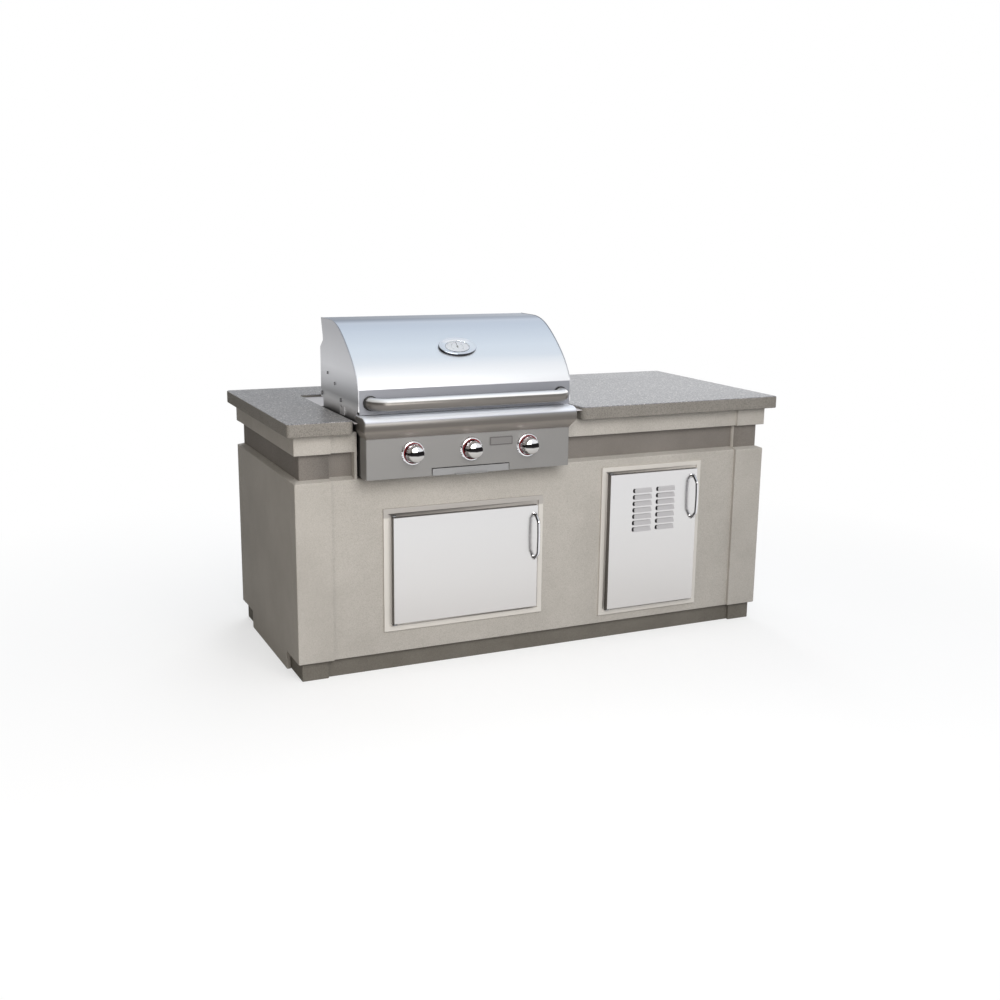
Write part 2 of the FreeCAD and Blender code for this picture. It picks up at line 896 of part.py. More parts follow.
panel_thickness = 2
panel_y = -size.panel_plane
fascia = plate(
    "control_panel",
    "XZ",
    [
        rectangle(
            grill - size.panel_half, grill + size.panel_half, size.firebox_bottom, size.panel_top
        )
    ],
    size.panel_plane,
    size.panel_plane - size.firebox_front,
    reverse=True,
)
ease(fascia, "panel_bends", size.panel_bend, lambda box: box.ZLength > 100 and box.YMax < -430)
hollow = sketch_on(
    fascia,
    "panel_hollow",
    "XY",
    size.firebox_bottom - 1,
    [
        rectangle(
            grill - size.panel_half + panel_thickness,
            grill + size.panel_half - panel_thickness,
            panel_y + panel_thickness,
            -size.firebox_front + 1,
        )
    ],
)
pocket(fascia, "panel_hollow_cut", hollow, 200, reverse=True)
stem_holes = sketch_on(
    fascia,
    "stem_holes",
    "XZ",
    size.panel_plane + 5,
    [("circle", x, size.knob_z, 8) for x in knob_x],
)
pocket(fascia, "stem_hole_cut", stem_holes, 15)
tray_notch = sketch_on(
    fascia,
    "tray_notch",
    "XZ",
    size.panel_plane + 5,
    [
        rectangle(
            grill - size.tray_front_half - size.tray_gap,
            grill + size.tray_front_half + size.tray_gap,
            size.firebox_bottom - 1,
            size.firebox_floor - 1,
        )
    ],
)
pocket(fascia, "tray_notch_cut", tray_notch, 15)
keep(fascia)

# Rounded steel nose above the control panel: a pressed sheet, open to the rear, with tapered ends

nose_z = size.nose_top - size.nose_radius
nose_y = size.nose_centre_y
nose_sheet = 2
tilt = size.nose_under_angle
nose_rear = -size.firebox_front


def nose_side(inset):
    """The nose seen from the end, drawn inside its outer face by the inset."""
    radius = size.nose_radius - inset
    level = size.panel_top + inset
    leave_y = nose_y - radius * cosine(tilt)
    leave_z = nose_z - radius * sine(tilt)
    end_y = leave_y + (leave_z - level) * sine(tilt) / cosine(tilt)
    return [(nose_y, size.nose_top - inset, radius), (leave_y, leave_z), (end_y, level)]


def nose_body(label, inset, loop):
    """A pad of the loop over the whole width, both ends drawn in towards the control panel."""
    body = new_body(label)
    half = size.nose_half - inset
    section = sketch_on(body, label + "_section", "YZ", grill - half, [loop])
    pad(body, label + "_pad", section, half * 2)
    taper_top = nose_z - size.nose_radius * sine(tilt)
    tapers = []
    for sign in (-1, 1):
        tip = grill + half * sign
        root = grill + (size.panel_half - inset) * sign
        outside = tip + 5 * sign
        below = size.panel_top - 5
        tapers.append([(root, size.panel_top), (tip, taper_top), (outside, taper_top), (outside, below), (root, below)])
    taper_sketch = sketch_on(body, label + "_tapers", "XZ", 0, tapers)
    pocket(body, label + "_taper_cut", taper_sketch, 1200, midplane=True)
    return body


outer_loop = [(nose_rear, size.nose_top)] + nose_side(0) + [(nose_rear, size.panel_top)]
nose_outer = nose_body("nose_outer", 0, outer_loop)


def nose_end_edge(box):
    """The rim of each end: top, round front and sloped underside."""
    outside = min(abs(box.XMin - grill.number), abs(box.XMax - grill.number))
    at_end = outside > size.panel_half.number - 1 and box.XLength < 20
    in_front = box.YMin < nose_rear.number - 1 and box.ZMax > size.panel_top.number + 1
    return at_end and in_front and (box.ZLength > 1 or box.ZMax > nose_z.number)


ease(nose_outer, "nose_end_rounding", size.nose_end_round, nose_end_edge)
flange_y = nose_rear - nose_sheet
flange_z = size.nose_top - 25
window_y = nose_rear - 28
inner_loop = [(flange_y, size.nose_top - nose_sheet)] + nose_side(nose_sheet)
inner_loop += [
    (window_y, size.panel_top + nose_sheet),
    (window_y, size.panel_top - 1),
    (nose_rear + 1, size.panel_top - 1),
    (nose_rear + 1, flange_z),
    (flange_y, flange_z),
]
nose_inner = nose_body("nose_inner", nose_sheet, inner_loop)
keep(cut("bullnose", nose_outer, nose_inner))

badge_x = grill + 114
badge = plate(
    "badge_plate",
    "XZ",
    [rectangle(badge_x - 44, badge_x + 44, 805, 836)],
    size.panel_plane,
    2,
)
ease(badge, "badge_corners", 4, lambda box: box.YLength > 1.5)
keep(badge)

# Gas manifold with its feed into the cabinet, valves, stems and burners

pipe = size.pipe_radius
feed_x = grill + 330
feed_z = 728
feed_y = -250
inlet_z = 640
socket_z = 704
pipe_y = size.manifold_y
pipe_z = size.manifold_z
manifold_pieces = [
    rod("manifold_run", pipe, feed_x - grill + 300, "x", grill - 300, pipe_y, pipe_z),
    ball("manifold_corner", pipe + 2, feed_x, pipe_y, pipe_z),
    rod("manifold_drop", pipe, pipe_z - feed_z, "z", feed_x, pipe_y, feed_z),
    ball("manifold_elbow", pipe + 1, feed_x, pipe_y, feed_z),
    rod("manifold_back", pipe, feed_y - pipe_y, "y", feed_x, pipe_y, feed_z),
    ball("manifold_down_elbow", pipe + 2, feed_x, feed_y, feed_z),
    rod("manifold_socket", pipe + 4, feed_z - socket_z, "z", feed_x, feed_y, socket_z),
    rod("manifold_inlet", pipe, feed_z - inlet_z, "z", feed_x, feed_y, inlet_z),
]
for index, x in enumerate(knob_x, 1):
    manifold_pieces.append(rod("manifold_boss_%d" % index, 8, 14, "z", x, pipe_y, pipe_z))
for name, x in (("left", grill - size.knob_spacing / 2), ("right", grill + size.knob_spacing / 2)):
    manifold_pieces.append(
        block("manifold_bracket_" + name, x - 9, x + 9, pipe_y, -size.firebox_front, pipe_z - 4, pipe_z + 4)
    )
keep(fuse("gas_manifold", manifold_pieces))

valve_pieces = []
for index, x in enumerate(knob_x, 1):
    valve_body = block(
        "valve_block_%d" % index, x - 13, x + 13, pipe_y - 13, pipe_y + 11, pipe_z + 11, size.knob_z + 14
    )
    nozzle = rod("valve_nozzle_%d" % index, 5, 12, "y", x, pipe_y + 10, size.knob_z)
    neck = rod("valve_neck_%d" % index, 8, 12, "y", x, pipe_y - 24, size.knob_z)
    seat = rod("valve_seat_%d" % index, size.stem_radius + size.stem_clearance, 20, "y", x, pipe_y - 25, size.knob_z)
    saddle = rod("valve_saddle_%d" % index, pipe, 40, "x", x - 20, pipe_y, pipe_z)
    boss = rod("valve_boss_%d" % index, 8, 16, "z", x, pipe_y, pipe_z)
    solid = fuse("valve_solid_%d" % index, [valve_body, nozzle, neck])
    valve_pieces.append(cut("valve_%d" % index, solid, fuse("valve_hollow_%d" % index, [seat, saddle, boss])))
keep(group("gas_valves", valve_pieces))

stem_rear = pipe_y - 5.4
for index, x in enumerate(knob_x, 1):
    stem = rod(
        "stem_round_%d" % index, size.stem_radius, stem_rear + 462, "y", x, -462, size.knob_z
    )
    flat = block("stem_flat_cut_%d" % index, x - 6, x + 6, -463, -446, size.knob_z + 2.4, size.knob_z + 6)
    keep(cut("valve_stem_%d" % index, stem, flat))

for index, x in enumerate(knob_x, 1):
    burner = fuse(
        "burner_solid_%d" % index,
        [
            rod(
                "burner_round_%d" % index,
                12.5,
                size.firebox_front + 14 + size.firebox_rear - steel,
                "y",
                x,
                -size.firebox_front - 14,
                size.knob_z,
            ),
            rod("burner_collar_%d" % index, collar_radius, 16, "y", x, -size.firebox_front - 14, size.knob_z),
        ],
    )
    bore = rod("burner_bore_%d" % index, 11, 375, "y", x, -size.firebox_front - 15, size.knob_z)
    slots = block("burner_slots_%d" % index, x - 14, x + 14, -340, -30, size.knob_z - 0.75, size.knob_z + 0.75)
    keep(cut("burner_%d" % index, burner, fuse("burner_hollow_%d" % index, [bore, slots])))

tents = []
for index, x in enumerate(knob_x, 1):
    half = 55
    rise = 34
    foot_z = 836
    thick = 2
    tent_section = [
        (x - half, foot_z),
        (x - half + 2.4, foot_z),
        (x, foot_z + rise - thick),
        (x + half - 2.4, foot_z),
        (x + half, foot_z),
        (x, foot_z + rise + 0.6),
    ]
    tents.append(
        plate(
            "heat_plate_%d" % index,
            "XZ",
            [tent_section],
            size.firebox_front - steel,
            box_depth - steel * 2,
            reverse=True,
        )
    )
keep(group("heat_plates", tents))

# Cooking grates of square bars laid on edge, and the warming rack

grate_pitch = 252
bar_half = 4
grate_y0 = -size.firebox_front + 3
grate_length = box_depth - 6
for index, centre in enumerate((grill - grate_pitch, grill, grill + grate_pitch), 1):
    bars = []
    for number in range(12):
        x = centre - 115.5 + number * 21
        z = grate_rest + bar_half
        diamond = [(x - bar_half, z), (x, z - bar_half), (x + bar_half, z), (x, z + bar_half)]
        bars.append(
            plate(
                "grate_%d_bar_%d" % (index, number + 1),
                "XZ",
                [diamond],
                -grate_y0,
                grate_length,
                reverse=True,
            )
        )
    for number, y in enumerate((-352, -179, -6)):
        cross = block(
            "grate_%d_cross_%d" % (index, number + 1),
            centre - 121,
            centre + 121,
            y - 3,
            y + 3,
            grate_rest + bar_half - 3,
            grate_rest + bar_half + 3,
        )
        bars.append(cross)
    keep(fuse("grate_%d" % index, bars))

rack_half = 372
rack_z = 1012
rack = []
for number, y in enumerate((-120, -92, -64, -36, -8)):
    rack.append(block("rack_bar_%d" % number, grill - rack_half, grill + rack_half, y - 2, y + 2, rack_z, rack_z + 4))
for number in range(9):
    x = grill - rack_half + 4 + number * (2 * rack_half - 8) / 8
    rack.append(block("rack_tie_%d" % number, x - 2, x + 2, -122, -6, rack_z - 4, rack_z + 1))
for name, sign in (("left", -1), ("right", 1)):
    low = grill + (rim_inner - (4 if sign > 0 else 0)) * sign
    reach0 = grill - rim_inner if sign < 0 else grill + rack_half - 6
    reach1 = grill - rack_half + 6 if sign < 0 else grill + rim_inner
    for spot, y in (("front", -118), ("rear", -30)):
        rack.append(block("rack_leg_%s_%s" % (name, spot), low, low + 4, y - 2, y + 2, 915, rack_z))
        rack.append(
            block("rack_arm_%s_%s" % (name, spot), reach0, reach1, y - 2, y + 2, rack_z - 4, rack_z)
        )
keep(fuse("warming_rack", rack))

# Drip tray that slides out to the front on the firebox runners

tray_z = size.firebox_bottom + 1.7
tray_top = tray_z + 18
tray_rear = panel_y + size.tray_length
tray_shell = block(
    "tray_shell", grill - size.tray_half, grill + size.tray_half, panel_y, tray_rear, tray_z, tray_top
)
tray_hollow = block(
    "tray_hollow",
    grill - size.tray_half + 1.5,
    grill + size.tray_half - 1.5,
    panel_y + 1.5,
    tray_rear - 1.5,
    tray_z + 1.5,
    tray_top + 1,
)
tray_face = block(
    "tray_face",
    grill - size.tray_front_half,
    grill + size.tray_front_half,
    panel_y - 1.5,
    panel_y + 0.5,
    size.firebox_bottom,
    size.firebox_floor - 4,
)
tray_grip = block(
    "tray_grip",
    grill - 60,
    grill + 60,
    panel_y - 12,
    panel_y - 0.5,
    size.firebox_bottom,
    size.firebox_bottom + 2,
)
keep(fuse("drip_tray", [cut("tray_pan", tray_shell, tray_hollow), tray_face, tray_grip]))

# Knobs and their bezels, turned about the stem


def revolve(label, x, points):
    """Points are radius and distance in front of y=0; the sketch's own axis is at x."""
    body = new_body(label)
    section = sketch_on(body, label + "_section", "XY", 0)
    draw(section, [[(radius, -reach) + tuple(rest) for radius, reach, *rest in points]])
    turn = body.newObject("PartDesign::Revolution", label + "_turn")
    turn.Profile = section
    turn.ReferenceAxis = (section, ["V_Axis"])
    turn.Angle = 360
    place(body, x, 0, size.knob_z)
    return body


for index, x in enumerate(knob_x, 1):
    bezel_points = [
        (8, size.panel_plane),
        (size.bezel_radius, size.panel_plane),
        (size.bezel_radius, size.panel_plane + 3),
        (size.bezel_radius - 4, size.bezel_front),
        (size.bezel_radius - 6.5, size.bezel_front),
        (size.bezel_radius - 9, size.panel_plane + 3),
        (8, size.panel_plane + 3),
    ]
    keep(revolve("knob_bezel_%d" % index, x, bezel_points))
for index, x in enumerate(knob_x, 1):
    bore_radius = size.stem_radius + size.stem_clearance
    knob_points = [
        (bore_radius, size.knob_rear),
        (size.knob_radius - 1, size.knob_rear),
        (size.knob_radius, size.knob_rear + 1),
        (size.knob_radius - 1.5, size.knob_front - 16),
        (size.knob_radius - 6, size.knob_front - 6, -50),
        (3, size.knob_front),
        (0, size.knob_front),
        (0, 468),
        (bore_radius, 468),
    ]
    keep(revolve("knob_%d" % index, x, knob_points))

# Hood: a curved skin between two end caps

crown_centre = size.hood_top - size.crown_radius
crown_end = (
    size.hood_top_front - size.crown_radius * sine(size.crown_angle),
    crown_centre + size.crown_radius * cosine(size.crown_angle),
)
slope_centre = (
    crown_end[0] + size.slope_radius * sine(size.crown_angle),
    crown_end[1] - size.slope_radius * cosine(size.crown_angle),
)
slope_end = (
    slope_centre[0] - size.slope_radius * sine(size.slope_angle),
    slope_centre[1] + size.slope_radius * cosine(size.slope_angle),
)
brow_centre = (
    slope_end[0] + size.brow_radius * sine(size.slope_angle),
    slope_end[1] - size.brow_radius * cosine(size.slope_angle),
)
brow_end = (
    brow_centre[0] - size.brow_radius * sine(size.brow_angle),
    brow_centre[1] + size.brow_radius * cosine(size.brow_angle),
)
band_y = brow_end[0]


def hood_profile(bottom):
    return [
        (size.hood_rear, bottom),
        (size.hood_rear, size.hood_rear_step),
        (size.hood_neck_y, size.hood_neck_low),
        (size.hood_neck_y, size.hood_neck_high),
        (size.hood_top_rear, size.hood_top),
        (size.hood_top_front, size.hood_top, size.crown_radius),
        (crown_end[0], crown_end[1], size.slope_radius),
        (slope_end[0], slope_end[1], size.brow_radius),
        brow_end,
        (band_y, bottom),
    ]


def side_outline(label, points, growth):
    """The profile in the plane across the hood, with the outline grown or shrunk."""
    sketch = new("Sketcher::SketchObject", label)
    sketch.Placement = Placement(Vector(), Rotation(Vector(1, 1, 1), 120))
    draw(sketch, [points])
    doc.recompute()
    edge = new("Part::Offset2D", label + "_offset")
    edge.Source = sketch
    edge.Join = 2
    bind(edge, "Value", growth)
    return sketch, edge


def extruded(label, source, x, length):
    made = new("Part::Extrusion", label)
    made.Base = source
    made.DirMode = "Custom"
    made.Dir = Vector(1, 0, 0)
    bind(made, "LengthFwd", length)
    made.Solid = True
    place(made, x, 0, 0)
    return made


skin_low = size.band_bottom - 20
skin_sketch, skin_inner = side_outline("hood_profile", hood_profile(skin_low), -size.hood_skin)
hood_x0 = grill - size.hood_half
hood_length = size.hood_half * 2
skin_outer_solid = extruded("hood_outer", skin_sketch, hood_x0, hood_length)
skin_inner_solid = extruded("hood_inner", skin_inner, hood_x0, hood_length)
trim_front = block(
    "hood_trim_front", hood_x0 - 1, hood_x0 + hood_length + 1, band_y - 5, 60, skin_low - 5, size.band_bottom
)
trim_rear = block(
    "hood_trim_rear",
    hood_x0 - 1,
    hood_x0 + hood_length + 1,
    -60,
    60,
    skin_low - 5,
    size.hood_rear_bottom,
)
skin_tools = fuse("hood_skin_tools", [skin_inner_solid, trim_front, trim_rear])
keep(cut("hood_skin", skin_outer_solid, skin_tools))

cap_sketch, cap_edge = side_outline("hood_cap_profile", hood_profile(size.cap_bottom), 1)
pin = size.hinge_pin_radius
for name, x in (("left", grill - size.hood_half - size.hood_cap), ("right", grill + size.hood_half)):
    cap = extruded("hood_cap_" + name, cap_edge, x, size.hood_cap)
    pin_hole = rod("cap_hole_" + name, pin, size.hood_cap + 2, "x", x - 1, 0, size.hinge_z)
    keep(cut("hood_end_" + name, cap, pin_hole))

pins = []
pin_inner = rim_half - 8
cap_face = size.hood_half + size.hood_cap
for name, sign in (("left", -1), ("right", 1)):
    start = grill - cap_face if sign < 0 else grill + pin_inner
    head = grill - cap_face - 4 if sign < 0 else grill + cap_face
    shank = rod("pin_shank_" + name, pin, cap_face - pin_inner, "x", start, 0, size.hinge_z)
    pin_head = rod("pin_head_" + name, 8, 4, "x", head, 0, size.hinge_z)
    pins.append(fuse("hinge_pin_" + name, [shank, pin_head]))
keep(group("hood_hinge_pins", pins))

# Hood handle: a bent tube on two dark bushings

handle = new_body("hood_handle")
reach = size.handle_half
bend = size.handle_bend
handle_path = sketch_on(handle, "handle_path", "XY", size.handle_z)
draw_chain(
    handle_path,
    0,
    [
        (grill - reach, band_y),
        (grill - reach, size.handle_y + bend, bend),
        (grill - reach + bend, size.handle_y),
        (grill + reach - bend, size.handle_y, bend),
        (grill + reach, size.handle_y + bend),
        (grill + reach, band_y),
    ],
    False,
)
handle_ring = sketch_on(
    handle,
    "handle_ring",
    "XZ",
    -band_y,
    [
        ("circle", grill - reach, size.handle_z, size.handle_radius),
        ("circle", grill - reach, size.handle_z, size.handle_radius - 2),
    ],
)
handle_sweep = handle.newObject("PartDesign::AdditivePipe", "handle_tube")
handle_sweep.Profile = handle_ring
handle_sweep.Spine = (handle_path, [])
keep(handle)

bushings = []
for name, x in (("left", grill - reach), ("right", grill + reach)):
    collar = rod("bushing_collar_" + name, size.bushing_radius, 8, "y", x, band_y - 8, size.handle_z)
    hole = rod("bushing_hole_" + name, size.handle_radius, 12, "y", x, band_y - 10, size.handle_z)
    bushings.append(cut("bushing_" + name, collar, hole))
keep(group("handle_bushings", bushings))

# Thermometer on the sloping front of the hood

gauge_tilt = Rotation(Vector(1, 0, 0), VALUES["gauge_angle"])
gauge_y = slope_centre[0] - size.slope_radius * sine(size.gauge_angle)
gauge_z = slope_centre[1] + size.slope_radius * cosine(size.gauge_angle)


def oval(label, long_radius, short_radius, height):
    made = new("Part::Ellipse", label)
    bind(made, "MajorRadius", long_radius)
    bind(made, "MinorRadius", short_radius)
    place(made, 0, 0, height)
    return made


def oval_cone(label, low, high):
    made = new("Part::Loft", label)
    made.Sections = [
        oval(label + "_low", *low),
        oval(label + "_high", *high),
    ]
    made.Solid = True
    made.Ruled = True
    return made


def on_gauge(thing):
    place(thing, grill, gauge_y, gauge_z, gauge_tilt)
    return thing


long_r = size.gauge_long
short_r = size.gauge_short
dial_l = size.dial_long
dial_s = size.dial_short
rise = size.gauge_height
gauge_outer = fuse(
    "gauge_outer",
    [
        oval_cone("gauge_foot", (long_r, short_r, -2.6), (long_r, short_r, rise - 3)),
        oval_cone("gauge_edge", (long_r, short_r, rise - 3), (long_r - 4, short_r - 4, rise)),
    ],
)
gauge_dish = oval_cone("gauge_dish", (dial_l, dial_s, 4), (long_r - 7, short_r - 7, rise + 0.6))
gauge_seat = oval_cone("gauge_seat", (dial_l - 2, dial_s - 2, 2), (dial_l - 2, dial_s - 2, 4.5))
gauge_ring = on_gauge(cut("gauge_ring", gauge_outer, fuse("gauge_hollow", [gauge_dish, gauge_seat])))
keep(cut("thermometer_bezel", gauge_ring, skin_outer_solid))
dial_disc = oval_cone("dial_disc", (dial_l - 2.3, dial_s - 2.3, 2), (dial_l - 2.3, dial_s - 2.3, 2.4))
needle_axle = rod("needle_axle", 1.2, 1.5, "z", 0, 0, 2.3)
keep(on_gauge(fuse("thermometer_dial", [dial_disc, needle_axle])))
keep(
    on_gauge(oval_cone("thermometer_lens", (dial_l - 0.6, dial_s - 0.6, 4), (dial_l - 0.2, dial_s - 0.2, 4.6)))
)
needle_hub = rod("needle_hub", 3, 0.9, "z", 0, 0, 2.8)
needle_blade = block("needle_blade", -0.7, 0.7, -8, 23, 3, 3.5)
needle_bore = rod("needle_bore", 1.5, 2, "z", 0, 0, 2.5)
keep(on_gauge(cut("thermometer_needle", fuse("needle_solid", [needle_hub, needle_blade]), needle_bore)))

# Spit brackets on the firebox and screws on the hood's end caps

brackets = []
for name, x in (("left", grill - rim_half - 3), ("right", grill + rim_half)):
    slab_plate = block("bracket_plate_" + name, x, x + 3, -236, -188, 908, 938)
    v_slot = rod("bracket_slot_" + name, 6, 6, "x", x - 1, -212, 938)
    brackets.append(cut("spit_bracket_" + name, slab_plate, v_slot))
keep(group("spit_brackets", brackets))

screws = []
for name, x in (("left", grill - cap_face - 3), ("right", grill + cap_face)):
    for number, (y, z, radius) in enumerate(((-66, 1037, 5), (-149, 1008, 5), (-219, 959, 7)), 1):
        screws.append(rod("cap_screw_%s_%d" % (name, number), radius, 3, "x", x, y, z))
keep(group("hood_side_screws", screws))

# Door frames: a raised bar, a rebate behind the door and a sleeve through the wall


def ring_loops(x, z, half_x, half_z, inner_x, inner_z):
    return [
        rectangle(x - half_x, x + half_x, z - half_z, z + half_z),
        rectangle(x - inner_x, x + inner_x, z - inner_z, z + inner_z),
    ]


def door_frame(label, x, z, width, height, bar):
    half_x = width / 2
    half_z = height / 2
    open_x = half_x - bar
    open_z = half_z - bar
    in_x = open_x - size.rebate_width
    in_z = open_z - size.rebate_width
    body = new_body(label)
    face = sketch_on(
        body, label + "_bar_outline", "XZ", size.frame_face, ring_loops(x, z, half_x, half_z, open_x, open_z)
    )
    pad(body, label + "_bar", face, size.frame_face - size.wall_front, reverse=True)
    lip_x = bar - steel * 2
    hollow = sketch_on(
        body,
        label + "_bar_hollow",
        "XZ",
        size.wall_front,
        ring_loops(x, z, half_x - steel, half_z - steel, half_x - steel - lip_x, half_z - steel - lip_x),
    )
    pocket(body, label + "_bar_hollow_cut", hollow, size.frame_face - size.wall_front - steel, reverse=True)
    rebate = sketch_on(
        body,
        label + "_rebate_outline",
        "XZ",
        size.rebate_face,
        ring_loops(x, z, open_x + steel / 2, open_z + steel / 2, in_x, in_z),
    )
    pad(body, label + "_rebate", rebate, size.rebate_face - size.wall_front, reverse=True)
    sleeve = sketch_on(
        body,
        label + "_sleeve_outline",
        "XZ",
        size.wall_front,
        ring_loops(x, z, in_x + steel, in_z + steel, in_x, in_z),
    )
    pad(body, label + "_sleeve", sleeve, size.wall_front - size.sleeve_rear, reverse=True)
    return body


def door_pan(body, label, x, z, width, height):
    """A folded pan with returned lips, open at the back inside the lips."""
    half_x = width / 2
    half_z = height / 2
    outline = sketch_on(
        body,
        label + "_outline",
        "XZ",
        size.door_front,
        [rectangle(x - half_x, x + half_x, z - half_z, z + half_z)],
    )
    pad(body, label + "_box", outline, size.door_front - size.door_rear, reverse=True)
    window_x = half_x - size.door_rim
    window_z = half_z - size.door_rim
    window = sketch_on(
        body,
        label + "_window",
        "XZ",
        size.door_rear,
        [rectangle(x - window_x, x + window_x, z - window_z, z + window_z)],
    )
    depth = size.door_front - size.door_rear - steel
    pocket(body, label + "_window_cut", window, depth, reverse=True)
    cavity_x = half_x - steel
    cavity_z = half_z - steel
    cavity = sketch_on(
        body,
        label + "_cavity",
        "XZ",
        size.door_rear + steel,
        ring_loops(x, z, cavity_x, cavity_z, window_x - 1, window_z - 1),
    )
    pocket(body, label + "_cavity_cut", cavity, depth - steel, reverse=True)
    pin_x = x - half_x + size.hinge_inset
    pin_holes = sketch_on(
        body,
        label + "_pin_holes",
        "XY",
        z,
        [("circle", pin_x, pin_y, size.door_pin_radius + 0.05)],
    )
    pocket(body, label + "_pin_hole_cut", pin_holes, height + 4, midplane=True)


pin_y = -(size.door_front + size.door_rear) / 2 + 1


def door_hinges(label, x, z, width, height, bar, frame_height):
    """Two lugs on the frame, each with a pin down or up into the door's edge."""
    pin_x = x - width / 2 + size.hinge_inset
    gap = frame_height / 2 - bar - height / 2
    pieces = []
    for name, sign in (("top", 1), ("bottom", -1)):
        middle = z + (height / 2 + gap / 2) * sign
        lug = block(
            "%s_lug_%s" % (label, name),
            pin_x - 7,
            pin_x + 7,
            pin_y - 6,
            -size.rebate_face,
            middle - 1.5,
            middle + 1.5,
        )
        low = middle if sign < 0 else middle - gap / 2 - 12
        shaft = rod("%s_pin_%s" % (label, name), size.door_pin_radius, gap / 2 + 12, "z", pin_x, pin_y, low)
        pieces.append(fuse("%s_%s" % (label, name), [lug, shaft]))
    return group(label, pieces)


def door_pull(label, x, z):
    """A bowed tube pull with a small round foot at each end."""
    body = new_body(label)
    face = -size.door_front
    half = size.pull_spacing / 2
    lean = size.pull_lean
    turn = size.pull_bend_angle
    bend = size.pull_bend
    root = face - size.pull_rise
    leg_y = root - bend * sine(lean)
    leg_z = half - bend + bend * cosine(lean)
    knee_y = leg_y - size.pull_leg * cosine(lean)
    knee_z = leg_z - size.pull_leg * sine(lean)
    grip_y = knee_y - bend * (sine(turn) - sine(lean))
    grip_z = knee_z - bend * (cosine(lean) - cosine(turn))
    bow = grip_z / cosine(turn)
    path = sketch_on(body, label + "_path", "YZ", x)
    draw_chain(
        path,
        0,
        [
            (face, z + half),
            (root, z + half, bend),
            (leg_y, z + leg_z),
            (knee_y, z + knee_z, bend),
            (grip_y, z + grip_z, bow),
            (grip_y, z - grip_z, bend),
            (knee_y, z - knee_z),
            (leg_y, z - leg_z, bend),
            (root, z - half),
            (face, z - half),
        ],
        False,
    )
    ring = sketch_on(body, label + "_ring", "XZ", size.door_front, [("circle", x, z + half, size.pull_radius)])
    sweep = body.newObject("PartDesign::AdditivePipe", label + "_bar")
    sweep.Profile = ring
    sweep.Spine = (path, [])
    feet = sketch_on(
        body,
        label + "_feet",
        "XZ",
        size.door_front,
        [("circle", x, z + half, 8.5), ("circle", x, z - half, 8.5)],
    )
    pad(body, label + "_foot_pads", feet, 3)
    return body


frame_args = (size.left_frame_width, size.left_frame_height, size.left_bar)
keep(door_frame("left_door_frame", size.left_x, size.left_z, *frame_args))
left_door = new_body("left_door")
door_pan(left_door, "left_pan", size.left_x, size.left_z, size.left_door_width, size.left_door_height)
keep(left_door)
left_pull_x = size.left_x + size.left_door_width / 2 - size.left_pull_edge
keep(door_pull("left_door_handle", left_pull_x, size.left_pull_z))
keep(
    door_hinges(
        "left_door_hinges",
        size.left_x,
        size.left_z,
        size.left_door_width,
        size.left_door_height,
        size.left_bar,
        size.left_frame_height,
    )
)

frame_args = (size.right_frame_width, size.right_frame_height, size.right_bar)
keep(door_frame("right_door_frame", size.right_x, size.right_z, *frame_args))
right_door = new_body("right_door")
door_pan(
    right_door, "right_pan", size.right_x, size.right_z, size.right_door_width, size.right_door_height
)

# Lanced louvres: each flap is cut on three sides and pressed outwards, hanging from its top edge

column_x = size.right_x - size.louvre_column_pitch / 2
slit = sketch_on(
    right_door,
    "louvre_slit",
    "XZ",
    size.door_front + 1,
    [
        rectangle(
            column_x - size.louvre_width / 2,
            column_x + size.louvre_width / 2,
            size.louvre_top - size.louvre_drop,
            size.louvre_top,
        )
    ],
)
slit_cut = pocket(right_door, "louvre_slit_cut", slit, 6)
flap_face = -size.door_front
flap_section = [
    (flap_face + steel, size.louvre_top + 0.5),
    (flap_face, size.louvre_top + 0.5),
    (flap_face - size.louvre_reach * 0.45, size.louvre_top - size.louvre_drop * 0.3),
    (flap_face - size.louvre_reach, size.louvre_top - size.louvre_drop),
    (flap_face - size.louvre_reach + steel, size.louvre_top - size.louvre_drop - 0.4),
    (flap_face - size.louvre_reach * 0.45 + steel, size.louvre_top - size.louvre_drop * 0.3 - 0.6),
]
flap = sketch_on(right_door, "louvre_flap", "YZ", column_x - size.louvre_width / 2, [flap_section])
flap_pad = pad(right_door, "louvre_flap_pad", flap, size.louvre_width)
doc.recompute()
louvres = right_door.newObject("PartDesign::MultiTransform", "louvre_field")
louvres.Originals = [slit_cut, flap_pad]
rows = right_door.newObject("PartDesign::LinearPattern", "louvre_row_pattern")
rows.Direction = (slit, ["V_Axis"])
rows.Reversed = True
rows.Occurrences = VALUES["louvre_rows"]
bind(rows, "Length", size.louvre_row_pitch * (size.louvre_rows - 1))
columns = right_door.newObject("PartDesign::LinearPattern", "louvre_column_pattern")
columns.Direction = (slit, ["H_Axis"])
columns.Occurrences = 2
bind(columns, "Length", size.louvre_column_pitch)
louvres.Transformations = [rows, columns]
right_door.Tip = louvres
keep(right_door)
right_pull_x = size.right_x + size.right_door_width / 2 - size.right_pull_edge
keep(door_pull("right_door_handle", right_pull_x, size.right_pull_z))
keep(
    door_hinges(
        "right_door_hinges",
        size.right_x,
        size.right_z,
        size.right_door_width,
        size.right_door_height,
        size.right_bar,
        size.right_frame_height,
    )
)

catches = []
for name, x, z in (
    ("left", size.left_x + size.left_door_width / 2, size.left_z),
    ("right", size.right_x + size.right_door_width / 2, size.right_z),
):
    catches.append(block("catch_" + name, x - 9, x - 3, -size.door_rear + 0.4, -size.rebate_face, z - 20, z + 20))
keep(group("door_catches", catches))

# Every piece is checked before anything is written

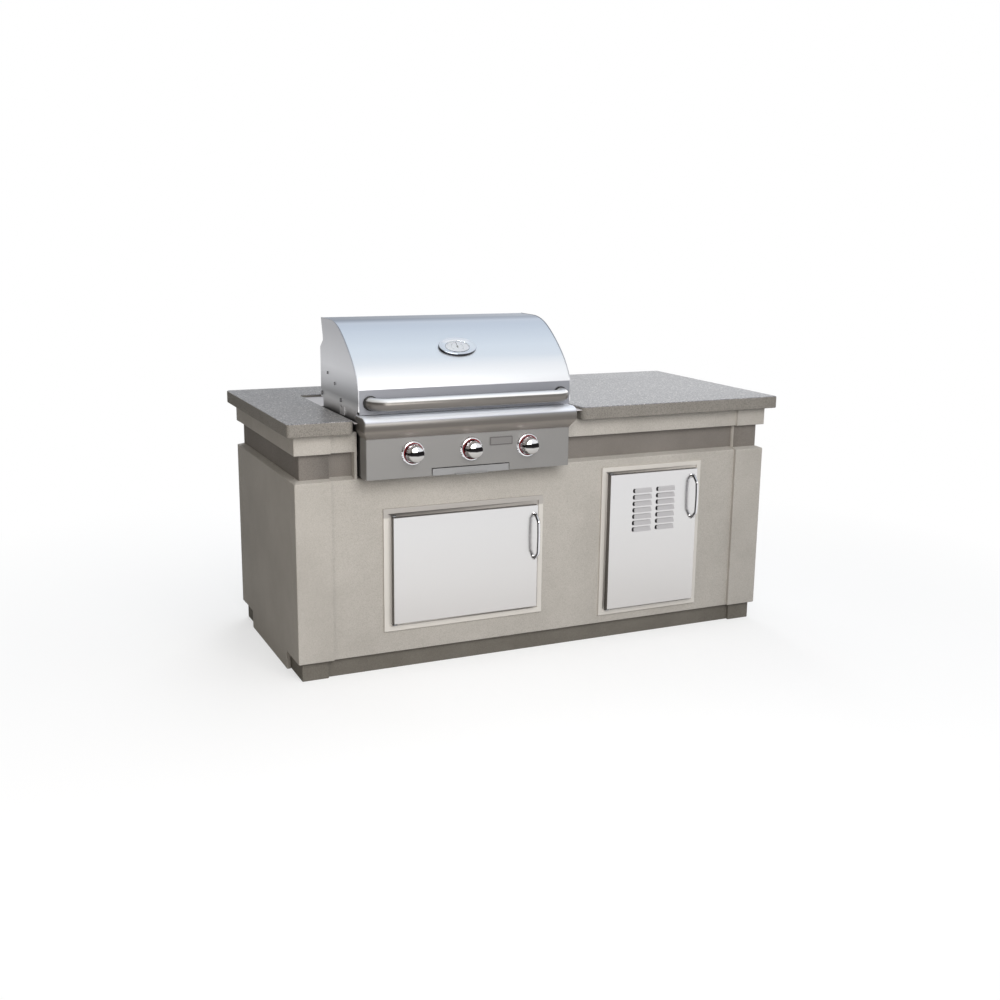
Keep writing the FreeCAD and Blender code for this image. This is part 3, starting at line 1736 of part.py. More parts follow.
doc.recompute()
failed = []
for thing in doc.Objects:
    if {"Invalid", "Error"} & set(thing.State):
        failed.append("%s %s" % (thing.Label, thing.State))
for node in nodes:
    shape = node.Shape
    if shape.isNull() or not shape.isValid() or shape.Volume <= 0:
        failed.append("%s has no valid shape" % node.Label)
if failed:
    raise RuntimeError("; ".join(failed))
os.makedirs("parts", exist_ok=True)
for node in nodes:
    node.Shape.exportStep("parts/%s.step" % node.Label)
    box = node.Shape.BoundBox
    print(
        "%-20s solids %2d  x %.1f..%.1f  y %.1f..%.1f  z %.1f..%.1f"
        % (
            node.Label,
            len(node.Shape.Solids),
            box.XMin,
            box.XMax,
            box.YMin,
            box.YMax,
            box.ZMin,
            box.ZMax,
        )
    )
print(len(nodes), "pieces written")
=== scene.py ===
import bpy, bmesh
import json, math
from mathutils import Matrix, Vector


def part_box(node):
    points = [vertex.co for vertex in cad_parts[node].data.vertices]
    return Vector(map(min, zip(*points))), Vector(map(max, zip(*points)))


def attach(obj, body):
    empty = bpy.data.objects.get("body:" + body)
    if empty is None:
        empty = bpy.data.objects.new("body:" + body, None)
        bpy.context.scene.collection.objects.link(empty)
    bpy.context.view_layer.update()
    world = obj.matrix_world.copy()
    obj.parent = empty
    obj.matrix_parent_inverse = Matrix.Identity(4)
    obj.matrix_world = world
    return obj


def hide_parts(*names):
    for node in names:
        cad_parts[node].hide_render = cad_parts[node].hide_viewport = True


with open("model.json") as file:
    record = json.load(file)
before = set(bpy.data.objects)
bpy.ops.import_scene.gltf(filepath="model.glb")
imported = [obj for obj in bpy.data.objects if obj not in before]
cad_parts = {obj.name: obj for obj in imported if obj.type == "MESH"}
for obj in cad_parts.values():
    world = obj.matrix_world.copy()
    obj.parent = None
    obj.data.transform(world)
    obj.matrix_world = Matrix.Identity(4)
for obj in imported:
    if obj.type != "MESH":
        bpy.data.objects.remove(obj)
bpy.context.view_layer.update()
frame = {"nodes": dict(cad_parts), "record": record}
nodes = frame["nodes"]
bodyOf = {node: body for body, members in frame["record"]["behaviour"]["bodies"].items() for node in members}
print("frame loaded:", len(nodes), "nodes")


# colours are sRGB hex values, written as seen

def linear(hexCode):
    parts = [int(hexCode[i:i + 2], 16) / 255 for i in (1, 3, 5)]
    return tuple(p / 12.92 if p <= 0.04045 else ((p + 0.055) / 1.055) ** 2.4 for p in parts) + (1.0,)


def addNode(tree, kind, settings=None, links=None, stops=()):
    node = tree.nodes.new(kind)
    for name, value in (settings or {}).items():
        if isinstance(name, str) and hasattr(node, name):
            setattr(node, name, value)
        else:
            node.inputs[name].default_value = value
    for name, source in (links or {}).items():
        tree.links.new(source, node.inputs[name])
    if stops:  # a colour ramp's stops: place, and a colour or a plain level
        bands = node.color_ramp.elements
        while len(bands) < len(stops):
            bands.new(0.5)
        for band, (place, colour) in zip(bands, stops):
            band.position = place
            band.color = linear(colour) if isinstance(colour, str) else (colour, colour, colour, 1)
    return node


def newMaterial(name, shader):
    made = bpy.data.materials.new(name)
    made.use_nodes = True
    tree = made.node_tree
    tree.nodes.clear()
    surface = addNode(tree, "ShaderNodeBsdfPrincipled", shader)
    addNode(tree, "ShaderNodeOutputMaterial", None, {"Surface": surface.outputs[0]})
    return made, tree, surface


# cast concrete: a sand-and-cement skin, sprayed in a mould, flat and fine-grained with soft clouds

concreteSkin = {
    "clouds": 4.0,  # clouds of about 250 mm
    "sand": 520.0,  # sand of 2 mm
    "sandShare": 0.35,
    "pitDepth": 0.0006,
    "waveDepth": 0.002,
}


def castConcrete(name, pale, dark, speckle, roughness, grain=1.0):
    made, tree, surface = newMaterial(name, {"Roughness": roughness, "Specular IOR Level": 0.35})
    spot = addNode(tree, "ShaderNodeTexCoord").outputs["Object"]
    clouds = addNode(tree, "ShaderNodeTexNoise",
                     {"Scale": concreteSkin["clouds"], "Detail": 6.0, "Roughness": 0.62}, {"Vector": spot})
    tone = addNode(tree, "ShaderNodeValToRGB", None,
                   {"Fac": clouds.outputs["Fac"]}, [(0.32, dark), (0.68, pale)])
    sand = addNode(tree, "ShaderNodeTexNoise",
                   {"Scale": concreteSkin["sand"] * grain, "Detail": 2.0}, {"Vector": spot})
    sandTone = addNode(tree, "ShaderNodeValToRGB", None,
                       {"Fac": sand.outputs["Fac"]}, [(0.40, speckle), (0.52, "#FFFFFF")])
    mixed = addNode(tree, "ShaderNodeMix",
                    {"data_type": "RGBA", "blend_type": "MULTIPLY", 0: concreteSkin["sandShare"]},
                    {6: tone.outputs[0], 7: sandTone.outputs[0]})
    tree.links.new(mixed.outputs[2], surface.inputs["Base Color"])
    pits = addNode(tree, "ShaderNodeBump", {"Strength": 0.25, "Distance": concreteSkin["pitDepth"]},
                   {"Height": sand.outputs["Fac"]})
    waves = addNode(tree, "ShaderNodeBump", {"Strength": 0.2, "Distance": concreteSkin["waveDepth"]},
                    {"Height": clouds.outputs["Fac"], "Normal": pits.outputs[0]})
    tree.links.new(waves.outputs[0], surface.inputs["Normal"])
    return made


# ground concrete: the top is ground to show dark and pale grit, then sealed, so it has a low sheen

groundSkin = {
    "clouds": 3.0,
    "grit": 170.0,  # grit of 3 mm, drawn 6 mm so that it shows
    "cement": ("#7C7B7E", "#868588"),
    "darkGrit": "#4C4A4C",
    "darkShare": 0.75,
    "paleGrit": "#D8D6D0",
    "pitDepth": 0.0004,
}


def groundConcrete(name):
    made, tree, surface = newMaterial(name, {"Roughness": 0.3, "Specular IOR Level": 0.7})
    spot = addNode(tree, "ShaderNodeTexCoord").outputs["Object"]
    clouds = addNode(tree, "ShaderNodeTexNoise",
                     {"Scale": groundSkin["clouds"], "Detail": 4.0}, {"Vector": spot})
    tone = addNode(tree, "ShaderNodeValToRGB", None,
                   {"Fac": clouds.outputs["Fac"]}, list(zip((0.3, 0.7), groundSkin["cement"])))
    grit = addNode(tree, "ShaderNodeTexNoise",
                   {"Scale": groundSkin["grit"], "Detail": 3.0, "Roughness": 0.75}, {"Vector": spot})
    gritTone = addNode(tree, "ShaderNodeValToRGB", None,
                       {"Fac": grit.outputs["Fac"]}, [(0.38, groundSkin["darkGrit"]), (0.47, "#FFFFFF")])
    mixed = addNode(tree, "ShaderNodeMix",
                    {"data_type": "RGBA", "blend_type": "MULTIPLY", 0: groundSkin["darkShare"]},
                    {6: tone.outputs[0], 7: gritTone.outputs[0]})
    pale = addNode(tree, "ShaderNodeValToRGB", None, {"Fac": grit.outputs["Fac"]}, [(0.57, 0.0), (0.62, 1.0)])
    lit = addNode(tree, "ShaderNodeMix",
                  {"data_type": "RGBA", "blend_type": "MIX", 7: linear(groundSkin["paleGrit"])},
                  {0: pale.outputs[0], 6: mixed.outputs[2]})
    tree.links.new(lit.outputs[2], surface.inputs["Base Color"])
    pits = addNode(tree, "ShaderNodeBump", {"Strength": 0.15, "Distance": groundSkin["pitDepth"]},
                   {"Height": grit.outputs["Fac"]})
    tree.links.new(pits.outputs[0], surface.inputs["Normal"])
    return made


# painted light and shade: a tone that runs with a piece's own height or with the way that its surface faces,
# painting reflections, highlights and shade into the base colour

def paintedLightTone(tree, source, axis, low, high, stops):
    spot = addNode(tree, "ShaderNodeTexCoord").outputs[source]
    part = addNode(tree, "ShaderNodeSeparateXYZ", None, {0: spot}).outputs[axis]
    place = addNode(tree, "ShaderNodeMapRange", {"From Min": low, "From Max": high}, {"Value": part})
    return addNode(tree, "ShaderNodeValToRGB", None, {"Fac": place.outputs[0]}, stops).outputs[0]


# brushed stainless steel: fine lines along one direction, drawn 1 mm apart so that they show

brush = {"along": 4, "across": 900, "depth": 0.0002}


def brushedSteel(name, colour, roughness, way="x", spread=0.12, metallic=1.0, tone=None):
    made, tree, surface = newMaterial(name, {"Base Color": linear(colour), "Metallic": metallic})
    # a tone paints reflections, highlights and shade into the base colour
    if tone:
        tree.links.new(paintedLightTone(tree, *tone), surface.inputs["Base Color"])
    spot = addNode(tree, "ShaderNodeTexCoord").outputs["Object"]
    stretch = [brush["along"] if axis == way else brush["across"] for axis in "xyz"]
    lines = addNode(tree, "ShaderNodeMapping", {"Scale": stretch}, {"Vector": spot})
    strokes = addNode(tree, "ShaderNodeTexNoise", {"Scale": 1.0, "Detail": 2.0}, {"Vector": lines.outputs[0]})
    rough = addNode(tree, "ShaderNodeMapRange",
                    {"To Min": roughness - spread / 2, "To Max": roughness + spread / 2},
                    {"Value": strokes.outputs["Fac"]})
    tree.links.new(rough.outputs[0], surface.inputs["Roughness"])
    furrows = addNode(tree, "ShaderNodeBump", {"Strength": 0.03, "Distance": brush["depth"]},
                      {"Height": strokes.outputs["Fac"]})
    tree.links.new(furrows.outputs[0], surface.inputs["Normal"])
    return made


# chromed and polished metal, smooth with faint handling smears

smears = {"scale": 60.0, "least": 0.7, "most": 1.4}  # shares of the metal's roughness


def polishedMetal(name, colour, roughness, tone=None):
    made, tree, surface = newMaterial(name, {"Base Color": linear(colour), "Metallic": 1.0})
    # a tone paints reflections, highlights and shade into the base colour
    if tone:
        tree.links.new(paintedLightTone(tree, *tone), surface.inputs["Base Color"])
    spot = addNode(tree, "ShaderNodeTexCoord").outputs["Object"]
    smear = addNode(tree, "ShaderNodeTexNoise", {"Scale": smears["scale"], "Detail": 3.0}, {"Vector": spot})
    rough = addNode(tree, "ShaderNodeMapRange",
                    {"To Min": roughness * smears["least"], "To Max": roughness * smears["most"]},
                    {"Value": smear.outputs["Fac"]})
    tree.links.new(rough.outputs[0], surface.inputs["Roughness"])
    return made


# painted, moulded and coated pieces: one colour with a fine texture in the gloss

coatSwing = 0.05  # how far the roughness goes to either side


def coated(name, colour, roughness, metallic=0.0, scale=300.0):
    made, tree, surface = newMaterial(name, {"Base Color": linear(colour), "Metallic": metallic})
    spot = addNode(tree, "ShaderNodeTexCoord").outputs["Object"]
    grain = addNode(tree, "ShaderNodeTexNoise", {"Scale": scale, "Detail": 2.0}, {"Vector": spot})
    rough = addNode(tree, "ShaderNodeMapRange",
                    {"To Min": roughness - coatSwing, "To Max": roughness + coatSwing},
                    {"Value": grain.outputs["Fac"]})
    tree.links.new(rough.outputs[0], surface.inputs["Roughness"])
    return made


# the concretes: pale and dark clouds, sand and roughness. The recessed band has a darker pigment, and the
# slab's edges aren't ground

wallConcrete = castConcrete("wallConcrete", "#BEBAB4", "#B2AEA8", "#B4B0AA", 0.85)
bandConcrete = castConcrete("bandConcrete", "#85807B", "#7A7570", "#96918C", 0.85)
plinthConcrete = castConcrete("plinthConcrete", "#7A766F", "#6C6861", "#8A857C", 0.85)
topConcrete = groundConcrete("groundConcrete")
edgeConcrete = castConcrete("edgeConcrete", "#908C86", "#85817B", "#5E5A56", 0.8, 0.7)

# the brushed sheets, with tones over their height in metres that paint in reflections, highlights and shade

# painted reflection over the hood's height: darker under the crease, near white over the slope as a painted
# highlight, darker again along the top
hoodSteelPaintedReflection = brushedSteel("hoodSteelPaintedReflection", "#E6E8EC", 0.34, "x", 0.1, 1.0, ("Object", 2, 0.93, 1.23, [
    (0.0, "#86878C"), (0.280, "#7E7F84"), (0.290, "#E6E7EA"), (0.37, "#F0F2F5"), (0.45, "#F2F4F7"),
    (0.7, "#F6F9FC"), (0.955, "#E6EAF0"), (0.98, "#A2AAB6")]))
# painted reflection and shade over the height: pale at the foot, dark just above it, paler in the middle,
# darker at the top
sideSteelPaintedReflection = brushedSteel("sideSteelPaintedReflection", "#C4C4C8", 0.36, "z", 0.12, 1.0, ("Object", 2, 0.93, 1.2, [
    (0.0, "#F2F2F4"), (0.08, "#ECECEE"), (0.16, "#A8A9AC"), (0.3, "#B6B7BB"), (0.5, "#CACBCF"),
    (1.0, "#ABACB1")]))
# painted shade and highlight: near black at the foot beside the counter, pale at the top
fireboxSteelPaintedShade = brushedSteel("fireboxSteelPaintedShade", "#B0B1B4", 0.4, "z", 0.12, 1.0, ("Object", 2, 0.85, 0.96, [
    (0.0, "#3C3B3A"), (0.5, "#8A8A8C"), (0.75, "#ECECEE"), (1.0, "#F2F2F4")]))
# painted shade: the door steel is darker towards the bottom
doorSteelPaintedShade = brushedSteel("doorSteelPaintedShade", "#DDDBDA", 0.22, "z", 0.08, 1.0, ("Object", 2, 0.12, 0.66, [
    (0.0, "#CFCCCA"), (0.35, "#D9D7D6"), (0.7, "#DEDDDD"), (1.0, "#DFDEDF")]))
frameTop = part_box("left_door_frame")[1][2]  # painted shadow: the wide frame's top 30 mm is darker, fading in from 36 mm under its top
wideFrameSteelPaintedShadow = brushedSteel("wideFrameSteelPaintedShadow", "#D2CEC8", 0.45, "x", 0.1, 0.35, (
    "Object", 2, frameTop - 0.036, frameTop - 0.030, [(0.0, "#D6D2CC"), (1.0, "#AFABA7")]))
frameSteel = brushedSteel("frameSteel", "#D2CEC8", 0.45, "x", 0.1, 0.35)
# painted shade: a darker copy of the door steel for the door returns
returnSteelPaintedShade = brushedSteel("returnSteelPaintedShade", "#706C69", 0.45, "x", 0.1, 0.5)
# painted shade: a greyer copy of the door steel for the louvre flaps
louvreSteelPaintedShade = brushedSteel("louvreSteelPaintedShade", "#BDBBBC", 0.34, "x", 0.08, 0.8)
# painted shade: the fascia steel is given a dark colour for the shade and dark reflections under the round
# nose
panelSteelPaintedShade = brushedSteel("panelSteelPaintedShade", "#858483", 0.48, "x", 0.12, 0.35)
deckSteel = brushedSteel("deckSteel", "#D6D2D2", 0.4, "x", 0.12, 0.3)
traySteel = brushedSteel("traySteel", "#939394", 0.38, "x", 0.1, 0.5)
# painted shade and reflection: a darker copy of the hood steel for the upright band
bandSteelPaintedShade = brushedSteel("bandSteelPaintedShade", "#86888F", 0.46, "x", 0.1, 0.3)
badgeSteel = brushedSteel("badgeSteel", "#7E7C7B", 0.36, "x", 0.08, 0.5)
grateSteel = brushedSteel("grateSteel", "#B5B3AE", 0.35, "y")

# round pieces, with painted reflections and highlights by the way that they face: -1 looks down or left, and
# 1 up or right

# painted reflection: a bluish pale top with a painted highlight line below it, grey and dark brown-grey
# facing forward and down
noseSteelPaintedReflection = brushedSteel("noseSteelPaintedReflection", "#DDDCE0", 0.36, "x", 0.06, 0.3, ("Normal", 2, -1.0, 1.0, [
    (0.0, "#C0B9B3"), (0.1, "#A19A94"), (0.2, "#868079"), (0.3, "#68635F"), (0.45, "#625E5A"),
    (0.6, "#726F6C"), (0.68, "#7C7B7B"), (0.71, "#808186"), (0.76, "#CDD1DA"), (0.84, "#F0F4FB"),
    (1.0, "#E8ECF4")]))
# painted reflection: a painted white highlight along the top of the tube, brown-grey below it
tubeSteelPaintedReflection = brushedSteel("tubeSteelPaintedReflection", "#E4E2E0", 0.3, "x", 0.05, 0.5, ("Normal", 2, -1.0, 1.0, [
    (0.0, "#7A7672"), (0.5, "#74706C"), (0.71, "#62605D"), (0.78, "#F8F8F7"), (0.93, "#F4F4F5"),
    (1.0, "#C4C6CA")]))
# painted reflection: a black band round the middle, grey below it, bright above
domeChromePaintedReflection = polishedMetal("domeChromePaintedReflection", "#EDEDF0", 0.05, ("Normal", 2, -1.0, 1.0, [
    (0.0, "#6E6A68"), (0.3, "#B4B1AE"), (0.45, "#C6C4C2"), (0.48, "#242224"), (0.58, "#1C1A1C"),
    (0.62, "#EDEDF0"), (1.0, "#F4F4F6")]))
# painted reflection and shade: near black facing down, pale to white facing up
gaugeChromePaintedReflection = polishedMetal("gaugeChromePaintedReflection", "#EDEDF0", 0.08, ("Normal", 2, -1.0, 1.0, [
    (0.0, "#1E1E22"), (0.38, "#2E2E33"), (0.5, "#6C7078"), (0.62, "#B9C3D2"), (0.76, "#D5DCE8"),
    (0.84, "#F6F7F9"), (1.0, "#F4F4F6")]))
# painted reflection: dark on the side facing left, bright facing forward, greyer facing right
pullChromePaintedReflection = polishedMetal("pullChromePaintedReflection", "#EDEDF0", 0.05, ("Normal", 0, -1.0, 1.0, [
    (0.0, "#8A8888"), (0.06, "#3A383A"), (0.16, "#4A484C"), (0.3, "#DADADE"), (0.8, "#F4F4F6"),
    (0.95, "#C9C9CE"), (1.0, "#8E8E94")]))
chromePlate = polishedMetal("chromePlate", "#EDEDF0", 0.04)
boltSteel = polishedMetal("boltSteel", "#8E8E90", 0.25)

# coats and small parts

zincCoat = coated("zincCoat", "#A9ADB0", 0.45, 0.9, 40.0)  # galvanised tube, dull with faint spangle
machinedBrass = coated("machinedBrass", "#C9A45C", 0.3, 1.0)
blackPipe = coated("blackPipe", "#262626", 0.5)
bushRubber = coated("bushRubber", "#1B1B1C", 0.55)
ringEnamel = coated("ringEnamel", "#8C3238", 0.2)
rimGrey = coated("rimGrey", "#5C5A59", 0.4, 0.6)
needlePaint = coated("needlePaint", "#20242C", 0.4)
dialWhite = coated("dialWhite", "#F2F6FC", 0.35)
dialInk = coated("dialInk", "#23364F", 0.5)
glassPane = newMaterial(
    "gaugeGlass", {"Base Color": (1, 1, 1, 1), "Roughness": 0.02, "Transmission Weight": 1.0, "IOR": 1.45})[0]
print("materials made")


# a CAD piece is copied, its loose triangles are joined, its edges are eased and its curves are smoothed

meshCare = {"join": 0.00002, "flat": 0.6, "corner": 35, "turnedSmooth": 40}  # metres, then degrees


def select(piece):
    bpy.ops.object.select_all(action="DESELECT")
    piece.select_set(True)
    bpy.context.view_layer.objects.active = piece


def joined(pieces):
    select(pieces[0])
    for piece in pieces:
        piece.select_set(True)
    bpy.ops.object.join()
    return bpy.context.object


def easeEdges(piece, width, segments, wanted):
    work = bmesh.new()
    work.from_mesh(piece.data)
    weights = work.edges.layers.float.new("bevel_weight_edge")
    for edge in work.edges:
        outer = len(edge.link_faces) == 2 and edge.is_convex
        if outer and edge.calc_face_angle(0) > math.radians(meshCare["corner"]) and wanted(edge):
            edge[weights] = 1.0
    work.to_mesh(piece.data)
    work.free()
    bevel = piece.modifiers.new("ease", "BEVEL")
    bevel.width = width
    bevel.segments = segments
    bevel.limit_method = "WEIGHT"
    bpy.ops.object.modifier_apply(modifier="ease")


def dress(node, name, material, ease=0.0, segments=2, smooth=32, flatten=True, wanted=lambda edge: True):
    piece = bpy.data.objects.new(name, nodes[node].data.copy())
    bpy.context.scene.collection.objects.link(piece)
    piece.data.materials.clear()
    piece.data.materials.append(material)
    select(piece)
    bpy.ops.object.mode_set(mode="EDIT")
    bpy.ops.mesh.select_all(action="SELECT")
    bpy.ops.mesh.remove_doubles(threshold=meshCare["join"])
    if flatten:
        bpy.ops.mesh.dissolve_limited(angle_limit=math.radians(meshCare["flat"]))
    bpy.ops.object.mode_set(mode="OBJECT")
    if ease:
        easeEdges(piece, ease, segments, wanted)
    bpy.ops.object.shade_smooth_by_angle(angle=math.radians(smooth))
    if ease:  # the flat faces keep their own normals beside the eased edges
        weighted = piece.modifiers.new("flatFaces", "WEIGHTED_NORMAL")
        weighted.keep_sharp = True
        bpy.ops.object.modifier_apply(modifier="flatFaces")
    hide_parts(node)
    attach(piece, bodyOf[node])
    return piece


# the cast panels, with the darker band between ledge and cornice

castPanels = {
    "ease": 0.003,
    "bandLow": 0.7118,
    "bandHigh": 0.7992,
    "bandSlack": 0.004,
    "bandFace": 0.02,  # faces of the band are taller than this
    "upright": 0.3,  # and their normals have less height than this
    "step": 0.823,
    "stepSlack": 0.002,
    "sheets": ["front_panel", "left_panel", "right_panel", "back_panel"],
}


def clearOfStep(edge):  # the step beside each corner pilaster stays sharp
    offsets = [abs(abs(vertex.co.x) - castPanels["step"]) for vertex in edge.verts]
    return max(offsets) >= castPanels["stepSlack"]


for node in castPanels["sheets"]:
    panel = dress(node, node.replace("_panel", "Wall"), wallConcrete, castPanels["ease"], 3,
                  wanted=clearOfStep)
    panel.data.materials.append(bandConcrete)
    for face in panel.data.polygons:
        heights = [panel.data.vertices[i].co.z for i in face.vertices]
        low, high = min(heights), max(heights)
        inBand = (low > castPanels["bandLow"] - castPanels["bandSlack"]
                  and high < castPanels["bandHigh"] + castPanels["bandSlack"])
        if inBand and high - low > castPanels["bandFace"] and abs(face.normal.z) < castPanels["upright"]:
            face.material_index = 1

# the plinth boards and the slab, whose top alone is ground

counter = {"boardEase": 0.002, "slabEase": 0.0025, "groundFace": 0.5}  # what looks up less isn't ground
for node in ("plinth_front", "plinth_back", "plinth_left", "plinth_right"):
    dress(node, node.replace("_", "Board"), plinthConcrete, counter["boardEase"])
slab = dress("countertop", "counterSlab", topConcrete, counter["slabEase"])
slab.data.materials.append(edgeConcrete)
for face in slab.data.polygons:
    if face.normal.z < counter["groundFace"]:
        face.material_index = 1
print("concrete dressed")


# the grill's sheet metal and its bright parts: node, new name, finish, width of its eased edges in metres,
# largest angle that is shaded smooth, and whether its flat triangles are merged into whole faces

grillPieces = [
    ("hood_skin", "hoodSkin", hoodSteelPaintedReflection, 0.0, 25, True),
    ("hood_end_left", "hoodEndLeft", sideSteelPaintedReflection, 0.001, 30, False),
    ("hood_end_right", "hoodEndRight", sideSteelPaintedReflection, 0.001, 30, False),
    ("bullnose", "roundNose", noseSteelPaintedReflection, 0.0, 30, True),
    ("control_panel", "controlPanel", panelSteelPaintedShade, 0.0, 1, False),
    ("badge_plate", "bareBadge", badgeSteel, 0.0006, 30, True),
    ("drip_tray", "dripTray", traySteel, 0.0, 30, True),
    ("firebox", "firebox", fireboxSteelPaintedShade, 0.0, 30, True),
    ("deck_plate", "deckPlate", deckSteel, 0.0, 30, True),
    ("hood_handle", "hoodHandle", tubeSteelPaintedReflection, 0.0, 50, True),
    ("hood_hinge_pins", "hingePins", boltSteel, 0.0005, 35, True),
]
hoodCrease = 1.0158  # the upright band under this height is painted darker, as painted shade and reflection
for node, name, material, ease, smooth, flatten in grillPieces:
    piece = dress(node, name, material, ease, smooth=smooth, flatten=flatten)
    if node == "hood_skin":
        piece.data.materials.append(bandSteelPaintedShade)
        for face in piece.data.polygons:
            if max(piece.data.vertices[i].co.z for i in face.vertices) < hoodCrease:
                face.material_index = 1
for number in (1, 2, 3):
    dress("knob_%d" % number, "knob%d" % number, domeChromePaintedReflection, smooth=40)
    dress("knob_bezel_%d" % number, "knobBezel%d" % number, chromePlate, smooth=40)


# the doors: metres that the louvres stand proud, and from the door's right edge to the feet of its pull

doors = {
    "left": {"frame": wideFrameSteelPaintedShadow, "smooth": 12, "flatten": True, "proud": 0, "pullInset": 0.013},
    "right": {"frame": frameSteel, "smooth": 1, "flatten": False, "proud": 0.008, "pullInset": 0.021},
}
for side, door in doors.items():
    dress(side + "_door", side + "DoorPan", doorSteelPaintedShade, smooth=door["smooth"], flatten=door["flatten"])
    dress(side + "_door_frame", side + "DoorFrame", door["frame"], smooth=12, flatten=False)
    dress(side + "_door_handle", side + "DoorPull", pullChromePaintedReflection, smooth=50)

# louvres: the lanced flaps are painted darker than the door, as painted shade, and each opening runs on past
# the left end of its flap

louvres = {
    "columns": (-0.051, 0.051),  # their middles, from the door's middle
    "rows": 7,
    "pitch": 0.025,
    "top": 0.589,
    "drop": 0.017,
    "width": 0.075,
    "mouth": 0.006,  # half the width of the half-oval mouth
    "cut": 0.005,
    "flapFrom": 0.0006,  # what stands further out than this is flap
}
doorLow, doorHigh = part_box("right_door")
doorFace = doorLow[1] + doors["right"]["proud"]
ventDoor = bpy.data.objects["rightDoorPan"]
mouths = []
for column in louvres["columns"]:
    for row in range(louvres["rows"]):
        left = (doorLow[0] + doorHigh[0]) / 2 + column - louvres["width"] / 2
        level = louvres["top"] - louvres["drop"] / 2 - row * louvres["pitch"]
        bpy.ops.mesh.primitive_cylinder_add(vertices=24, radius=1, depth=1, location=(left, doorFace, level),
                                            rotation=(math.radians(90), 0, 0))
        bpy.context.object.scale = (louvres["mouth"], louvres["drop"] / 2, louvres["cut"])
        mouths.append(bpy.context.object)
cutter = joined(mouths)
select(ventDoor)
pierce = ventDoor.modifiers.new("pierce", "BOOLEAN")
pierce.operation = "DIFFERENCE"
pierce.solver = "EXACT"
pierce.object = cutter
bpy.ops.object.modifier_apply(modifier="pierce")
bpy.data.objects.remove(cutter)
bpy.ops.object.shade_smooth_by_angle(angle=math.radians(doors["right"]["smooth"]))
ventDoor.data.materials.append(louvreSteelPaintedShade)
for face in ventDoor.data.polygons:
    if face.center.y < doorFace - louvres["flapFrom"]:
        face.material_index = 1
print("louvres pierced")

# the folded returns round each door are painted darker than its face, as painted shade in the gap round it

returns = {"width": 0.002, "facing": 0.5}  # a return's normal has less depth than this
for side in doors:
    pan = bpy.data.objects[side + "DoorPan"].data
    pan.materials.append(returnSteelPaintedShade)
    low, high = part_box(side + "_door")
    for face in pan.polygons:
        middle = face.center
        inset = min(middle.x - low[0], high[0] - middle.x, middle.z - low[2], high[2] - middle.z)
        if inset < returns["width"] and abs(face.normal.y) < returns["facing"]:
            face.material_index = len(pan.materials) - 1

# the CAD pieces that are shown as they are, each with its finish

keptNodes = {
    "frame_base": zincCoat, "frame_posts": zincCoat, "frame_top": zincCoat, "grill_bearers": zincCoat,
    "cabinet_floor": zincCoat, "gas_manifold": blackPipe, "gas_valves": machinedBrass,
    "valve_stem_1": machinedBrass, "valve_stem_2": machinedBrass, "valve_stem_3": machinedBrass,
    "burner_1": grateSteel, "burner_2": grateSteel, "burner_3": grateSteel, "heat_plates": grateSteel,
    "grate_1": grateSteel, "grate_2": grateSteel, "grate_3": grateSteel, "warming_rack": grateSteel,
    "handle_bushings": bushRubber, "thermometer_needle": needlePaint, "spit_brackets": sideSteelPaintedReflection,
    "hood_side_screws": boltSteel, "left_door_hinges": boltSteel, "right_door_hinges": boltSteel,
    "door_catches": blackPipe, "thermometer_lens": glassPane,
}
for node, material in keptNodes.items():
    mesh = nodes[node].data
    if not mesh.materials:
        mesh.materials.append(material)
    for place in range(len(mesh.materials)):
        mesh.materials[place] = material
print("metal dressed")


# a new piece is put in its place, and the place goes into its mesh

def settle(piece, name, spot, material, body):
    select(piece)
    piece.name = name
    piece.matrix_world = spot @ piece.matrix_world
    bpy.ops.object.transform_apply(location=True, rotation=True, scale=True)
    bpy.ops.object.shade_smooth_by_angle(angle=math.radians(meshCare["turnedSmooth"]))
    piece.data.materials.clear()
    piece.data.materials.append(material)
    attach(piece, body)
    return piece


# rings and discs are drawn up out of a circle from level to level: half width, half depth and height in mm

def drawnUp(name, levels, spot, material, body, solid=False, corners=96):
    bpy.ops.object.select_all(action="DESELECT")
    bpy.ops.mesh.primitive_circle_add(vertices=corners, radius=1, fill_type="NGON" if solid else "NOTHING",
                                      location=(0, 0, 0))
    piece = bpy.context.object
    bpy.ops.object.mode_set(mode="EDIT")
    bpy.ops.mesh.select_all(action="SELECT")
    wide, tall, level = levels[0]
    bpy.ops.transform.resize(value=(wide / 1000, tall / 1000, 1))
    bpy.ops.transform.translate(value=(0, 0, level / 1000))
    further = levels[1:] if solid else levels[1:] + levels[:1]  # a ring closes on itself
    for nextWide, nextTall, nextLevel in further:
        bpy.ops.mesh.extrude_region_move(TRANSFORM_OT_translate={"value": (0, 0, (nextLevel - level) / 1000)})
        bpy.ops.transform.resize(value=(nextWide / wide, nextTall / tall, 1))
        wide, tall, level = nextWide, nextTall, nextLevel
    bpy.ops.mesh.select_all(action="SELECT")
    bpy.ops.mesh.remove_doubles(threshold=meshCare["join"])
    bpy.ops.mesh.normals_make_consistent(inside=False)
    bpy.ops.object.mode_set(mode="OBJECT")
    return settle(piece, name, spot, material, body)


facingOut = Matrix.Rotation(math.radians(90), 4, "X")  # what was drawn up then points at the front


# rosettes where the pulls meet their doors: a turned disc, rounded off

